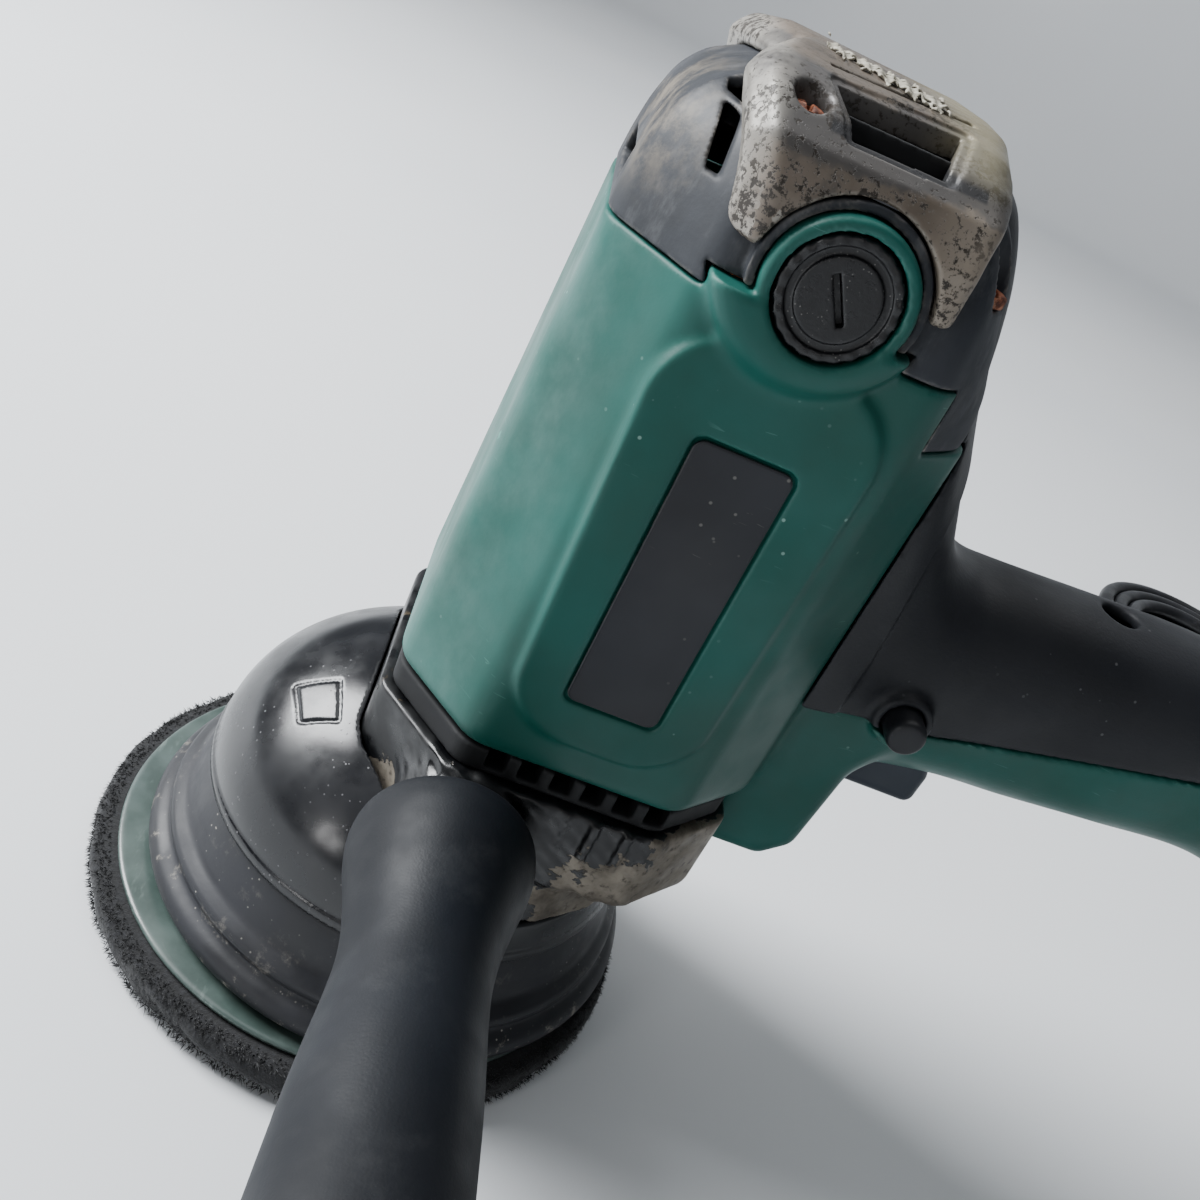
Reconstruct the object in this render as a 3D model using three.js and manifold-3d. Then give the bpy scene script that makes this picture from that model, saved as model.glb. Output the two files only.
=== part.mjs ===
// Geared dual action polisher, in millimetres, +Z up.
// The origin is the centre of the pad's face, with the tool standing on its pad.
// +X runs towards the rear handle, -Y towards the side handle.
import * as THREE from "three";
import { mergeVertices } from "three/addons/utils/BufferGeometryUtils.js";
import Module from "manifold-3d";

const wasm = await Module();
wasm.setup();

// ---- driving dimensions ----
const GAP = 0.3; // clearance between pieces that touch
const PAD_RADIUS = 62.4;
const PAD_HEIGHT = 8;
const PLATE_RADIUS = 57.5;
const ORBIT = 4.5; // eccentricity of the pad shaft about the spindle
const SPINDLE_X = ORBIT;
const GEAR_MODULE = 1; // motor reduction
const PINION_TEETH = 10;
const SPINDLE_TEETH = 28;
const MOTOR_X = SPINDLE_X + ((PINION_TEETH + SPINDLE_TEETH) * GEAR_MODULE) / 2;
const RING_MODULE = 1.5; // pad gearing: the ring is fixed, the planet walks round in it
const RING_TEETH = 24;
const PLANET_TEETH = 18;
const WALL = 2.6; // moulded housing wall
const HOUSING_BOTTOM = 81.5;
const HOUSING_TOP = 174;
const HOUSING_TOP_REAR = 163; // the end cover comes lower behind the motor
const FACE_Y = 40; // half depth of the motor housing
const CASE_BOTTOM = 55;
const CASE_TOP = 75.5;
const CASE_FLOOR = 44;
const HOOD_BOTTOM = 34;
const BRUSH_Z = 181;
const SIDE_HANDLE_X = 6.7;
const SIDE_HANDLE_Z = 63.5;
const SIDE_HANDLE_END = 165;
const HANDLE_END_X = 212;
const CORD_Z = 112;
const CORD_RADIUS = 3.8;
const RELIEF_LENGTH = 38;
const COIL = { x: 378, y: 322, inner: 28.5, outer: 62, height: 16.2 };

// ---- finishes ----
const finish = (color, roughness, metalness = 0) =>
  new THREE.MeshStandardMaterial({ color, roughness, metalness });
const GREEN = finish(0x1f7060, 0.5);
const DARK = finish(0x2e2f33, 0.6);
const WORN = finish(0x55565b, 0.65);
const BEIGE = finish(0xb5ac9c, 0.55);
const GLOSS_BLACK = finish(0x131417, 0.2);
const RUBBER = finish(0x2b2c30, 0.8);
const GRIP = finish(0x3a3c42, 0.7);
const CASE_BLACK = finish(0x17181c, 0.4, 0.3);
const PLATE_GREY = finish(0x7e9490, 0.5);
const FOAM = finish(0x1e1f24, 0.95);
const STEEL = finish(0x9a9da0, 0.35, 0.9);
const RUST = finish(0x6b3f2f, 0.8, 0.5);
const COPPER = finish(0xb0623a, 0.4, 0.8);
const CARBON = finish(0x26262a, 0.8);
const BRASS = finish(0xb08d4a, 0.4, 0.9);
const CORD_BLACK = finish(0x121214, 0.6);

// ---- solids ----
function toSolid(geometry) {
  const bare = geometry.index ? geometry.toNonIndexed() : geometry.clone();
  bare.deleteAttribute("normal");
  bare.deleteAttribute("uv");
  const merged = mergeVertices(bare, 1e-4);
  const numbers = { numProp: 3, vertProperties: merged.attributes.position.array };
  let solid = new wasm.Manifold(
    new wasm.Mesh({ ...numbers, triVerts: new Uint32Array(merged.index.array) }),
  );
  if (solid.volume() < 0) {
    const turned = new Uint32Array(merged.index.array).reverse();
    solid = new wasm.Manifold(new wasm.Mesh({ ...numbers, triVerts: turned }));
  }
  return solid;
}

function toGeometry(solid) {
  const data = solid.getMesh();
  const geometry = new THREE.BufferGeometry();
  const positions = new Float32Array(data.vertProperties);
  geometry.setAttribute("position", new THREE.BufferAttribute(positions, 3));
  geometry.setIndex(new THREE.BufferAttribute(new Uint32Array(data.triVerts), 1));
  return geometry.toNonIndexed();
}

// Cuts between nearly flush faces can leave crumbs; only bodies above this volume are kept.
const CRUMB = 1;
const SHORTEST_EDGE = 0.02;
function withoutCrumbs(solid) {
  const [first, ...rest] = solid.decompose().filter((b) => Math.abs(b.volume()) > CRUMB);
  return rest.reduce((sum, body) => sum.add(body), first).simplify(SHORTEST_EDGE);
}

const join = (first, ...others) => others.reduce((sum, next) => sum.add(next), first);
const cut = (first, ...others) => others.reduce((rest, next) => rest.subtract(next), first);

// The sides and end caps between rings of the same number of points.
function loft(rings) {
  const count = rings[0].length;
  const middle = (ring) =>
    ring.reduce((sum, p) => sum.add(p), new THREE.Vector3()).divideScalar(count);
  const points = rings.flat();
  const indices = [];
  for (let level = 0; level < rings.length - 1; level++) {
    for (let i = 0; i < count; i++) {
      const a = level * count + i;
      const b = level * count + ((i + 1) % count);
      indices.push(a, b, a + count, b, b + count, a + count);
    }
  }
  const first = points.push(middle(rings[0])) - 1;
  const last = points.push(middle(rings[rings.length - 1])) - 1;
  const top = (rings.length - 1) * count;
  for (let i = 0; i < count; i++) {
    const next = (i + 1) % count;
    indices.push(next, i, first, top + i, top + next, last);
  }
  const geometry = new THREE.BufferGeometry().setFromPoints(points);
  geometry.setIndex(indices);
  return toSolid(geometry);
}

// A convex outline, its corners rounded by arcs of a few steps.
function rounded(points, radius, steps = 2) {
  const result = [];
  points.forEach(([x, y], i) => {
    const [px, py] = points[(i + points.length - 1) % points.length];
    const [nx, ny] = points[(i + 1) % points.length];
    const back = Math.hypot(px - x, py - y);
    const ahead = Math.hypot(nx - x, ny - y);
    const reach = Math.min(radius, back * 0.45, ahead * 0.45);
    const from = [x + ((px - x) / back) * reach, y + ((py - y) / back) * reach];
    const to = [x + ((nx - x) / ahead) * reach, y + ((ny - y) / ahead) * reach];
    for (let s = 0; s <= steps; s++) {
      const t = s / steps;
      const [a, b, c] = [(1 - t) ** 2, 2 * t * (1 - t), t ** 2];
      result.push([a * from[0] + b * x + c * to[0], a * from[1] + b * y + c * to[1]]);
    }
  });
  return result;
}

// A convex anticlockwise outline moved inwards by a distance, or outwards by a negative one.
function inset(points, distance) {
  const lines = points.map(([x, y], i) => {
    const [nx, ny] = points[(i + 1) % points.length];
    const length = Math.hypot(nx - x, ny - y);
    const normal = [-(ny - y) / length, (nx - x) / length];
    return { normal, offset: normal[0] * x + normal[1] * y + distance };
  });
  return lines.map(({ normal: [a, b], offset: e }, i) => {
    const previous = lines[(i + lines.length - 1) % lines.length];
    const [c, d] = previous.normal;
    const det = a * d - b * c;
    return [(e * d - b * previous.offset) / det, (a * previous.offset - c * e) / det];
  });
}

const level = (outline, z) => outline.map(([x, y]) => new THREE.Vector3(x, y, z));
const stack = (...levels) => loft(levels.map(([z, outline]) => level(outline, z)));
const prism = (outline, z0, z1) => stack([z0, outline], [z1, outline]);

// An XZ outline pulled along Y.
function alongY(outline, y0, y1) {
  const ring = (y) => outline.map(([x, z]) => new THREE.Vector3(x, y, z));
  return loft([ring(y0), ring(y1)]);
}

// A YZ outline pulled along X, for an outline that need not be convex.
function alongX(outline, x0, x1) {
  const shape = new THREE.Shape(outline.map(([y, z]) => new THREE.Vector2(y, z)));
  const geometry = new THREE.ExtrudeGeometry(shape, { depth: x1 - x0, bevelEnabled: false });
  geometry.rotateX(Math.PI / 2).rotateZ(Math.PI / 2).translate(x0, 0, 0);
  return toSolid(geometry);
}

function box(x0, x1, y0, y1, z0, z1) {
  const geometry = new THREE.BoxGeometry(x1 - x0, y1 - y0, z1 - z0);
  return toSolid(geometry.translate((x0 + x1) / 2, (y0 + y1) / 2, (z0 + z1) / 2));
}

// A profile of [radius, height] turned about Z, at x, y.
function turned(profile, x = 0, y = 0, segments = 40) {
  const points = profile.map(([r, z]) => new THREE.Vector2(r, z));
  const geometry = new THREE.LatheGeometry(points, segments);
  return toSolid(geometry.rotateX(Math.PI / 2).translate(x, y, 0));
}

const closed = (profile) => [...profile, profile[0]];
const ring = (inner, outer, z0, z1, x, segments = 24) =>
  turned(closed([[inner, z0], [outer, z0], [outer, z1], [inner, z1]]), x, 0, segments);
const disc = (radius, z0, z1, x, y = 0, segments = 24) =>
  turned([[0, z0], [radius, z0], [radius, z1], [0, z1]], x, y, segments);

// A profile of [radius, distance] turned about a line along Y; side is -1 for the front.
function turnedAlongY(profile, x, z, side, segments = 24) {
  const points = profile.map(([r, d]) => new THREE.Vector2(r, d));
  const geometry = new THREE.LatheGeometry(points, segments);
  if (side < 0) geometry.rotateX(Math.PI);
  return toSolid(geometry.translate(x, 0, z));
}

const discY = (radius, near, far, x, z, side, segments = 24) =>
  turnedAlongY([[0, near], [radius, near], [radius, far], [0, far]], x, z, side, segments);

function tube(points, radius, sides, steps) {
  const section = new THREE.Shape();
  for (let i = 0; i < sides; i++) {
    const angle = (2 * Math.PI * i) / sides;
    const [x, y] = [radius * Math.cos(angle), radius * Math.sin(angle)];
    if (i) section.lineTo(x, y);
    else section.moveTo(x, y);
  }
  const extrudePath = new THREE.CatmullRomCurve3(points.map((p) => new THREE.Vector3(...p)));
  return toSolid(
    new THREE.ExtrudeGeometry(section, { steps, extrudePath, bevelEnabled: false }),
  );
}

// A toothed wheel outline; a tooth is narrower than its gap, which is the backlash.
function gearOutline(teeth, module, out, into, share, phase = 0) {
  const pitch = (teeth * module) / 2;
  const points = [];
  for (let i = 0; i < teeth; i++) {
    const step = (2 * Math.PI) / teeth;
    const middle = (i + phase) * step;
    const corners = [
      [-0.5 * share - 0.1, pitch + into],
      [-0.5 * share + 0.08, pitch + out],
      [0.5 * share - 0.08, pitch + out],
      [0.5 * share + 0.1, pitch + into],
    ];
    for (const [offset, radius] of corners) {
      const angle = middle + offset * step;
      points.push(new THREE.Vector2(radius * Math.cos(angle), radius * Math.sin(angle)));
    }
  }
  return points;
}

function gear(outline, z0, z1, x) {
  const options = { depth: z1 - z0, bevelEnabled: false };
  const geometry = new THREE.ExtrudeGeometry(new THREE.Shape(outline), options);
  return toSolid(geometry.translate(x, 0, z0));
}

// ---- the assembly ----
const polisher = new THREE.Group();

function add(name, solid, material, place = [0, 0, 0]) {
  const mesh = new THREE.Mesh(toGeometry(withoutCrumbs(solid)), material);
  mesh.name = name;
  mesh.position.set(...place);
  polisher.add(mesh);
}

// ---- outlines that several pieces share ----
const HOUSING_FRONT = [3, 44];
const housingOutline = (left, grow = 0) =>
  inset(
    [
      [left, -22], [HOUSING_FRONT[0], -FACE_Y], [HOUSING_FRONT[1], -FACE_Y], [60, -25],
      [60, 25], [HOUSING_FRONT[1], FACE_Y], [HOUSING_FRONT[0], FACE_Y], [left, 22],
    ],
    -grow,
  );
const caseOutline = (grow = 0) =>
  inset(
    [[-15, -22], [2, -FACE_Y], [44, -FACE_Y], [59, -26],
      [59, 26], [44, FACE_Y], [2, FACE_Y], [-15, 22]],
    -grow,
  );
const noseOutline = (grow = 0) =>
  inset(
    [[-14, -24], [0, -39], [30, -39], [44, -28], [44, 28], [30, 39], [0, 39], [-14, 24]],
    -grow,
  );
const CORNER = 9;
const housingBody = (grow, z0 = HOUSING_BOTTOM, z1 = HOUSING_TOP) =>
  stack(
    [z0, rounded(housingOutline(-14, grow), CORNER)],
    [z1, rounded(housingOutline(-10, grow), CORNER)],
  );

// ---- rear handle and its saddle behind the motor ----
const HANDLE_STATIONS = [
  // x, underside, top, half width
  [62, 76, 134, 20],
  [80, 87, 136, 19.5],
  [95, 90.5, 136.8, 18.5],
  [115, 92, 138, 18],
  [135, 94, 138.8, 18],
  [158, 96, 137.6, 18.5],
  [176, 93, 136, 20],
  [198, 90, 135, 21.5],
  [208, 91.5, 132.5, 20.5],
  [HANDLE_END_X, 97, 127, 16],
];
const HANDLE_SIDES = 24;
function handleLoft(shrink) {
  const rings = HANDLE_STATIONS.map(([x, low, high, half], i) => {
    const end = i === HANDLE_STATIONS.length - 1 ? -shrink : 0;
    const [height, width] = [(high - low) / 2 - shrink, half - shrink];
    return Array.from({ length: HANDLE_SIDES }, (_, k) => {
      const angle = (2 * Math.PI * k) / HANDLE_SIDES;
      const square = (v) => Math.sign(v) * Math.abs(v) ** 0.8;
      return new THREE.Vector3(
        x + end,
        width * square(Math.cos(angle)),
        (low + high) / 2 + height * square(Math.sin(angle)),
      );
    });
  });
  return loft(rings);
}
const SADDLE_LEVELS = [
  // z, back, half width at the motor, half width at the back
  [92, 82, 24, 12],
  [125, 82, 26, 13.4],
  [139, 76, 26, 13.2],
  [154, 69.5, 25, 13.1],
  [171, 63, 24, 14],
  [186, 61.8, 22, 15],
];
const saddle = (shrink) =>
  stack(
    ...SADDLE_LEVELS.map(([z, back, wide, narrow], i) => {
      const outline = [
        [50, -wide], [60, -wide], [back, -narrow], [back, narrow], [60, wide], [50, wide],
      ];
      const end = i === SADDLE_LEVELS.length - 1 ? shrink : 0;
      return [z - end, rounded(inset(outline, shrink), 6)];
    }),
  );
const SPLIT = [[40, 105.6], [89, 105.9], [143, 118], [220, 134.5]];
const aboveSplit = (raise) =>
  join(
    alongY(
      [[40, SPLIT[0][1] + raise], [89, SPLIT[1][1] + raise], [89, 260], [40, 260]],
      -60,
      60,
    ),
    alongY(
      [[89, SPLIT[1][1] + raise], [143, SPLIT[2][1] + raise], [220, SPLIT[3][1] + raise],
        [220, 260], [89, 260]],
      -60,
      60,
    ),
  );
const CHIN = [[59.33, 62], [73, 62], [79, 68], [80.5, 90], [84, 105], [59.33, 105]];
const chin = alongY(rounded(CHIN, 6), -19, 19);
const cordBore = alongX(
  Array.from({ length: 16 }, (_, i) => {
    const angle = (Math.PI * i) / 8;
    return [6.8 * Math.cos(angle), CORD_Z + 6.8 * Math.sin(angle)];
  }),
  198,
  220,
);
const lobeBody = (grow, side) =>
  cut(
    discY(17.4 + grow, 30, 44 + grow, 22, 183, side, 36),
    box(-20, 60, -60, 60, 177 + grow, 210),
  );
const brushRing = (radius, far, side) => discY(radius, 30, far, MOTOR_X, BRUSH_Z, side, 28);
const brushBores = (radius) => [brushRing(radius, 60, -1), brushRing(radius, 60, 1)];
const triggerSlot = box(79.5, 101, -9.6, 9.6, 78, 104);
const lockBore = discY(4.3, 10, 40, 80, 109, -1, 20);
const LABEL = { x0: 15, x1: 32, z0: 100, z1: 153.5, deep: 0.8 };
const labelOutline = (grow) =>
  rounded(
    [
      [LABEL.x0 - grow, LABEL.z0 - grow], [LABEL.x1 + grow, LABEL.z0 - grow],
      [LABEL.x1 + grow, LABEL.z1 + grow], [LABEL.x0 - grow, LABEL.z1 + grow],
    ],
    2,
  );
const PANEL = rounded([[6, 90.5], [41, 90.5], [43, 172], [4, 172]], 12, 4);

const SCREW = { head: 3.4, shank: 1.7 };
const HANDLE_SCREWS = [[117.3, 138], [194, 135.2]];
const handleScrewBores = HANDLE_SCREWS.map(([x, top]) =>
  join(disc(SCREW.head + GAP, top - 9, top + 9, x, 0, 14),
    disc(SCREW.shank + GAP, 96, top, x, 0, 8)),
);
const handlePosts = HANDLE_SCREWS.map(([x, top]) =>
  disc(SCREW.head + 2.6, 92.3, top - 1, x, 0, 12),
);

function motorHousing() {
  const lower = cut(handleLoft(0), aboveSplit(-GAP / 2));
  const outer = join(
    housingBody(0),
    alongY(PANEL, -FACE_Y - 0.9, -FACE_Y + 1),
    alongY(PANEL, FACE_Y - 1, FACE_Y + 0.9),
    lobeBody(0, -1),
    lobeBody(0, 1),
    brushRing(11.6, 44, -1),
    brushRing(11.6, 44, 1),
    chin,
    lower,
  );
  const hollow = housingBody(-WALL, HOUSING_BOTTOM - 1, HOUSING_TOP + 40);
  const posts = handlePosts.map((post) => cut(post, aboveSplit(-GAP / 2)));
  const shell = join(cut(outer, hollow, handleLoft(WALL)), ...posts);
  return cut(
    shell,
    ...brushBores(9.6),
    box(48.7, 80, -60, 60, HOUSING_TOP_REAR, 220),
    alongY(labelOutline(0.4), -FACE_Y - 4, -FACE_Y - 0.9 + LABEL.deep),
    alongY(labelOutline(0.4), FACE_Y + 0.9 - LABEL.deep, FACE_Y + 4),
    triggerSlot,
    lockBore,
    ...handleScrewBores,
    cordBore,
  );
}

function handleCover() {
  const inner = join(handleLoft(WALL), saddle(WALL));
  const shell = cut(join(handleLoft(0), saddle(0)), inner);
  const posts = handlePosts.map((post) => post.intersect(aboveSplit(GAP / 2)));
  return cut(
    join(shell.intersect(aboveSplit(GAP / 2)), ...posts),
    housingBody(GAP, 60, 200),
    endCoverBody(GAP),
    box(40, 60.3, -60, 60, 60, 200),
    lockBore,
    ...handleScrewBores,
    cordBore,
  );
}

function endCoverBody(grow) {
  const outline = (shrink) => rounded(housingOutline(-10, grow - shrink), CORNER);
  return stack(
    [HOUSING_TOP_REAR + GAP - grow, outline(0)],
    [188, outline(0.4)],
    [197, outline(4)],
    [203 + grow, outline(11)],
  );
}

const VENTS = { front: [9, 29], z0: 196.5, z1: 207, slots: [178, 185.5, 193] };
const END_SCREWS = [
  { x: 9.4, y: -33.4, z: 197 }, { x: 9.4, y: 33.4, z: 197 },
  { x: 47, y: -31.5, z: 189 }, { x: 47, y: 31.5, z: 189 },
];

const endScrewBore = ({ x, y, z }) =>
  join(disc(SCREW.head + GAP, z, z + 20, x, y, 12), disc(SCREW.shank + GAP, 160, z, x, y, 8));

function endCover() {
  const hollow = stack(
    [HOUSING_TOP_REAR - 2, rounded(housingOutline(-10, -WALL), CORNER)],
    [188, rounded(housingOutline(-10, -WALL - 0.4), CORNER)],
    [196, rounded(housingOutline(-10, -WALL - 4), CORNER)],
    [200.4, rounded(housingOutline(-10, -WALL - 10), CORNER)],
  );
  const rims = [-1, 1].map((side) =>
    cut(brushRing(13.4, 42, side), brushRing(9, 38, side), box(-20, 60, -60, 60, 0, 176)),
  );
  const bearingSeat = ring(9.8, 12.4, 194, 201.5, MOTOR_X);
  const posts = END_SCREWS.map(({ x, y, z }) => disc(5, z - 13, z + 1, x, y, 12));
  const front = cut(
    join(
      cut(endCoverBody(0), hollow),
      ...posts.map((post) => post.intersect(endCoverBody(0))),
    ),
    box(-20, 49, -60, 60, 100, HOUSING_TOP + GAP),
  );
  const slots = VENTS.slots.map((z) => alongY(rounded([[-20, z], [2, z], [2, z + 4.6],
    [-20, z + 4.6]], 1), -20, 20));
  return cut(
    join(front, ...rims, bearingSeat),
    ...brushBores(11.9),
    lobeBody(GAP, -1),
    lobeBody(GAP, 1),
    ...slots.map((slot) => cut(slot, box(-30, 30, -11, 11, 0, 220))),
    box(VENTS.front[0], VENTS.front[1], -50, 50, VENTS.z0, VENTS.z1 - 6.5),
    ...END_SCREWS.map(endScrewBore),
  );
}

function topBumper() {
  const outer = [
    [-43, 183], [-43, 191], [-40.5, 197.5], [-35, 202], [-27, 204.9], [-13, 206.7],
  ];
  const inner = [[-28, 203.5], [-36.8, 197.9], [-40.7, 190.2], [-40.7, 183]];
  const flip = (points) => points.map(([y, z]) => [-y, z]).reverse();
  const strap = alongX([...outer, ...flip(outer), ...flip(inner), ...inner], -4, 52);
  const face = [[4.8, 183], [40, 183], [46, 207.5], [0, 207.5], [-0.5, 202]];
  return cut(
    strap.intersect(alongY(rounded(face, 2.5), -60, 60)),
    endCoverBody(GAP),
    ...brushBores(13.7),
    box(VENTS.front[0], VENTS.front[1], -50, 50, VENTS.z0, VENTS.z1 - 3.6),
    ...END_SCREWS.map(endScrewBore),
  );
}

function screw(length) {
  const recess = box(-2.4, 2.4, -0.5, 0.5, 1.2, 4);
  const head = disc(SCREW.head, 0, 2.4, 0, 0, 12);
  const shank = disc(SCREW.shank, -length, 0.5, 0, 0, 8);
  return cut(join(head, shank), recess);
}

function casings() {
  add("motor_housing", motorHousing(), GREEN);
  add("handle_cover", handleCover(), DARK);
  add("end_cover", endCover(), WORN);
  add("top_bumper", topBumper(), BEIGE);
  for (const [side, name] of [[-1, "front"], [1, "back"]]) {
    const near = FACE_Y + 0.9 - LABEL.deep + GAP;
    const plate = alongY(labelOutline(0), side * near, side * (near + 0.7));
    add(`label_plate_${name}`, plate, CASE_BLACK);
  }
  END_SCREWS.forEach(({ x, y, z }, i) => {
    add(`end_cover_screw_${i + 1}`, screw(11), RUST, [x, y, z + GAP]);
  });
  HANDLE_SCREWS.forEach(([x, top], i) => {
    add(`handle_screw_${i + 1}`, screw(24), STEEL, [x, 0, top - 9 + GAP]);
  });
}

// ---- gear case, hood and skirt ----
const boss = (side) => discY(9, 24, FACE_Y + 2, SIDE_HANDLE_X, SIDE_HANDLE_Z, side, 24);
const bossBore = (side) => discY(5.3, 20, 60, SIDE_HANDLE_X, SIDE_HANDLE_Z, side, 20);

function gearCase() {
  const body = join(
    prism(rounded(caseOutline(), 7), CASE_BOTTOM, CASE_TOP),
    prism(rounded(noseOutline(), 7), CASE_FLOOR, CASE_BOTTOM + 1),
    disc(41, CASE_FLOOR, 49, SPINDLE_X, 0, 40),
    ring(37.6, 40.6, 21.5, CASE_FLOOR + 1, SPINDLE_X, 40),
  );
  const chamber = prism(rounded(caseOutline(-3.6), 5), 58, CASE_TOP + 5);
  return cut(
    join(cut(body, chamber), boss(-1), boss(1)),
    disc(12.3, 46, 60, SPINDLE_X),
    disc(9, 40, 50, SPINDLE_X),
    bossBore(-1),
    bossBore(1),
  );
}

function bearingPlate() {
  const top = HOUSING_BOTTOM - GAP;
  const plate = join(
    prism(rounded(caseOutline(-2), 6), CASE_TOP + GAP, top),
    disc(11.6, 70.2, CASE_TOP + 1, SPINDLE_X),
    disc(13, 77, 85, MOTOR_X),
  );
  const slots = [];
  for (let i = 0; i < 6; i++) {
    const x = 8 + i * 6.4;
    slots.push(box(x, x + 4, -60, -31, 77.2, 90), box(x, x + 4, 31, 60, 77.2, 90));
  }
  return cut(
    plate,
    disc(8.8, 60, 75.6, SPINDLE_X),
    disc(10.3, 76.9, 90, MOTOR_X),
    disc(6.2, 60, 90, MOTOR_X),
    ...slots,
  );
}

const HOOD_PROFILE = [
  [47, HOOD_BOTTOM], [47.5, 39], [45.8, 44.5], [43.5, 50.6], [38.5, 57], [31.5, 63],
  [21.5, 68], [10, 70.6],
];
function spindleHood() {
  const outer = turned([[0, HOOD_BOTTOM], ...HOOD_PROFILE, [0, 71]], SPINDLE_X, 0, 40);
  const hollow = HOOD_PROFILE.map(([r, z]) => [r - 2.2, z - 1.8]);
  const inner = turned([[0, 20], [44.8, 20], ...hollow, [0, 68.8]], SPINDLE_X, 0, 40);
  return cut(
    outer,
    inner,
    prism(rounded(caseOutline(GAP), 7), CASE_BOTTOM - GAP, 90),
    prism(rounded(noseOutline(GAP), 7), 43.6, 60),
    box(0, 80, -70, 70, 43.6, 90),
  );
}

function rubberSkirt() {
  const outside = [
    [46.5, 33.6], [47.2, 30], [49.6, 23], [52.4, 20], [52.6, 18], [55.2, 16.2], [56, 13.5],
    [55, 11.2],
  ];
  const inside = [[52.4, 11.2], [52, 14], [50, 17.5], [47, 22], [44, 30], [43.4, 33.6]];
  return turned(closed([...outside, ...inside]), SPINDLE_X, 0, 40);
}

const GRIP_PROFILE = [
  // distance from the tool's middle, radius
  [42.4, 11], [43.5, 14], [46.5, 16.4], [51, 17.2], [57, 16.3], [63, 14.9], [70, 13.6],
  [77, 12.9], [85, 13.2], [94, 14], [104, 14.8], [116, 15.3], [130, 16], [144, 16.8],
  [154, 17.2], [161, 15.8], [164.2, 12.5], [SIDE_HANDLE_END, 8],
];
function sideHandle() {
  const skin = GRIP_PROFILE.map(([y, r]) => [r, y]);
  const profile = [[0, 42.4], ...skin, [0, SIDE_HANDLE_END]];
  const grip = turnedAlongY(profile, SIDE_HANDLE_X, SIDE_HANDLE_Z, -1, 24);
  const bore = discY(5.3, 30, 72, SIDE_HANDLE_X, SIDE_HANDLE_Z, -1, 20);
  add("side_handle_grip", cut(grip, bore), GRIP);
  const stud = discY(5, 26, 71.5, SIDE_HANDLE_X, SIDE_HANDLE_Z, -1, 20);
  add("side_handle_stud", stud, STEEL);
  const plugSlot = box(SIDE_HANDLE_X - 3.4, SIDE_HANDLE_X + 3.4, 40.6, 50,
    SIDE_HANDLE_Z - 0.6, SIDE_HANDLE_Z + 0.6);
  const spare = discY(4.9, 26, FACE_Y + 1.6, SIDE_HANDLE_X, SIDE_HANDLE_Z, 1, 20);
  add("spare_boss_plug", cut(spare, plugSlot), RUBBER);
}

function gearHead() {
  add("gear_case", gearCase(), CASE_BLACK);
  add("bearing_plate", bearingPlate(), DARK);
  add("spindle_hood", spindleHood(), GLOSS_BLACK);
  add("rubber_skirt", rubberSkirt(), RUBBER);
  const bore = gearOutline(RING_TEETH, RING_MODULE, -1.1, 1.9, 0.36);
  const ringGear = cut(disc(37.3, 22, 28.6, SPINDLE_X, 0, 48), gear(bore, 15, 35, SPINDLE_X));
  add("ring_gear", ringGear, STEEL);
  add("spindle_bearing_lower", ring(6.3, 12, 46.3, 54, SPINDLE_X, 24), STEEL);
  add("spindle_bearing_upper", ring(5.3, 8.5, 70.4, 75.3, SPINDLE_X, 24), STEEL);
  sideHandle();
}

// ---- motor ----
const STATOR = { z0: 108, z1: 158, outer: 32, bore: 19.6 };
const CORE_RADIUS = 18.7;

function stator() {
  add("stator_core", ring(25.2, STATOR.outer, STATOR.z0, STATOR.z1, MOTOR_X, 40), STEEL);
  for (const [side, name] of [[-1, "left"], [1, "right"]]) {
    const coil = ring(STATOR.bore, 24.8, STATOR.z0 - 4, STATOR.z1 + 4, MOTOR_X, 40);
    const x0 = side < 0 ? MOTOR_X - 40 : MOTOR_X + 5;
    const half = box(x0, x0 + 35, -40, 40, 90, 180);
    add(`field_coil_${name}`, coil.intersect(half), COPPER);
  }
}

function armature() {
  const shaft = turned([
    [0, 60], [2.7, 60], [2.7, 69.6], [5, 69.6], [5, 192], [4, 192], [4, 199.6], [0, 199.6],
  ], MOTOR_X, 0, 24);
  add("armature_shaft", shaft, STEEL);
  const slots = [];
  for (let i = 0; i < 12; i++) {
    const angle = (Math.PI * i) / 6;
    slots.push(disc(1.5, 100, 165, MOTOR_X + 17.6 * Math.cos(angle),
      17.6 * Math.sin(angle), 8));
  }
  add("armature_core", cut(ring(5.3, CORE_RADIUS, 109, 157, MOTOR_X, 36), ...slots), STEEL);
  add("commutator", ring(5.3, 13, 170, 190, MOTOR_X, 24), COPPER);
  const hub = join(ring(5.3, 9, 88, 97, MOTOR_X), ring(8, 29, 88, 89.6, MOTOR_X));
  const blades = [];
  for (let i = 0; i < 11; i++) {
    const turn = (2 * Math.PI * i) / 11;
    const blade = new THREE.BoxGeometry(18, 1.6, 8);
    blade.rotateZ(0.5).translate(19.5, 0, 93).rotateZ(turn).translate(MOTOR_X, 0, 0);
    blades.push(toSolid(blade));
  }
  add("cooling_fan", join(hub, ...blades), DARK);
  const teeth = gearOutline(PINION_TEETH, GEAR_MODULE, 0.75, -1.1, 0.36, 0.5);
  const pinion = cut(gear(teeth, 60.4, 69, MOTOR_X), disc(3, 50, 80, MOTOR_X, 0, 24));
  add("pinion_gear", pinion, STEEL);
  add("motor_bearing_lower", ring(5.3, 10, 77.2, 84, MOTOR_X, 24), STEEL);
  add("motor_bearing_upper", ring(4.3, 9.5, 193.6, 199.8, MOTOR_X, 24), STEEL);
}

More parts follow.
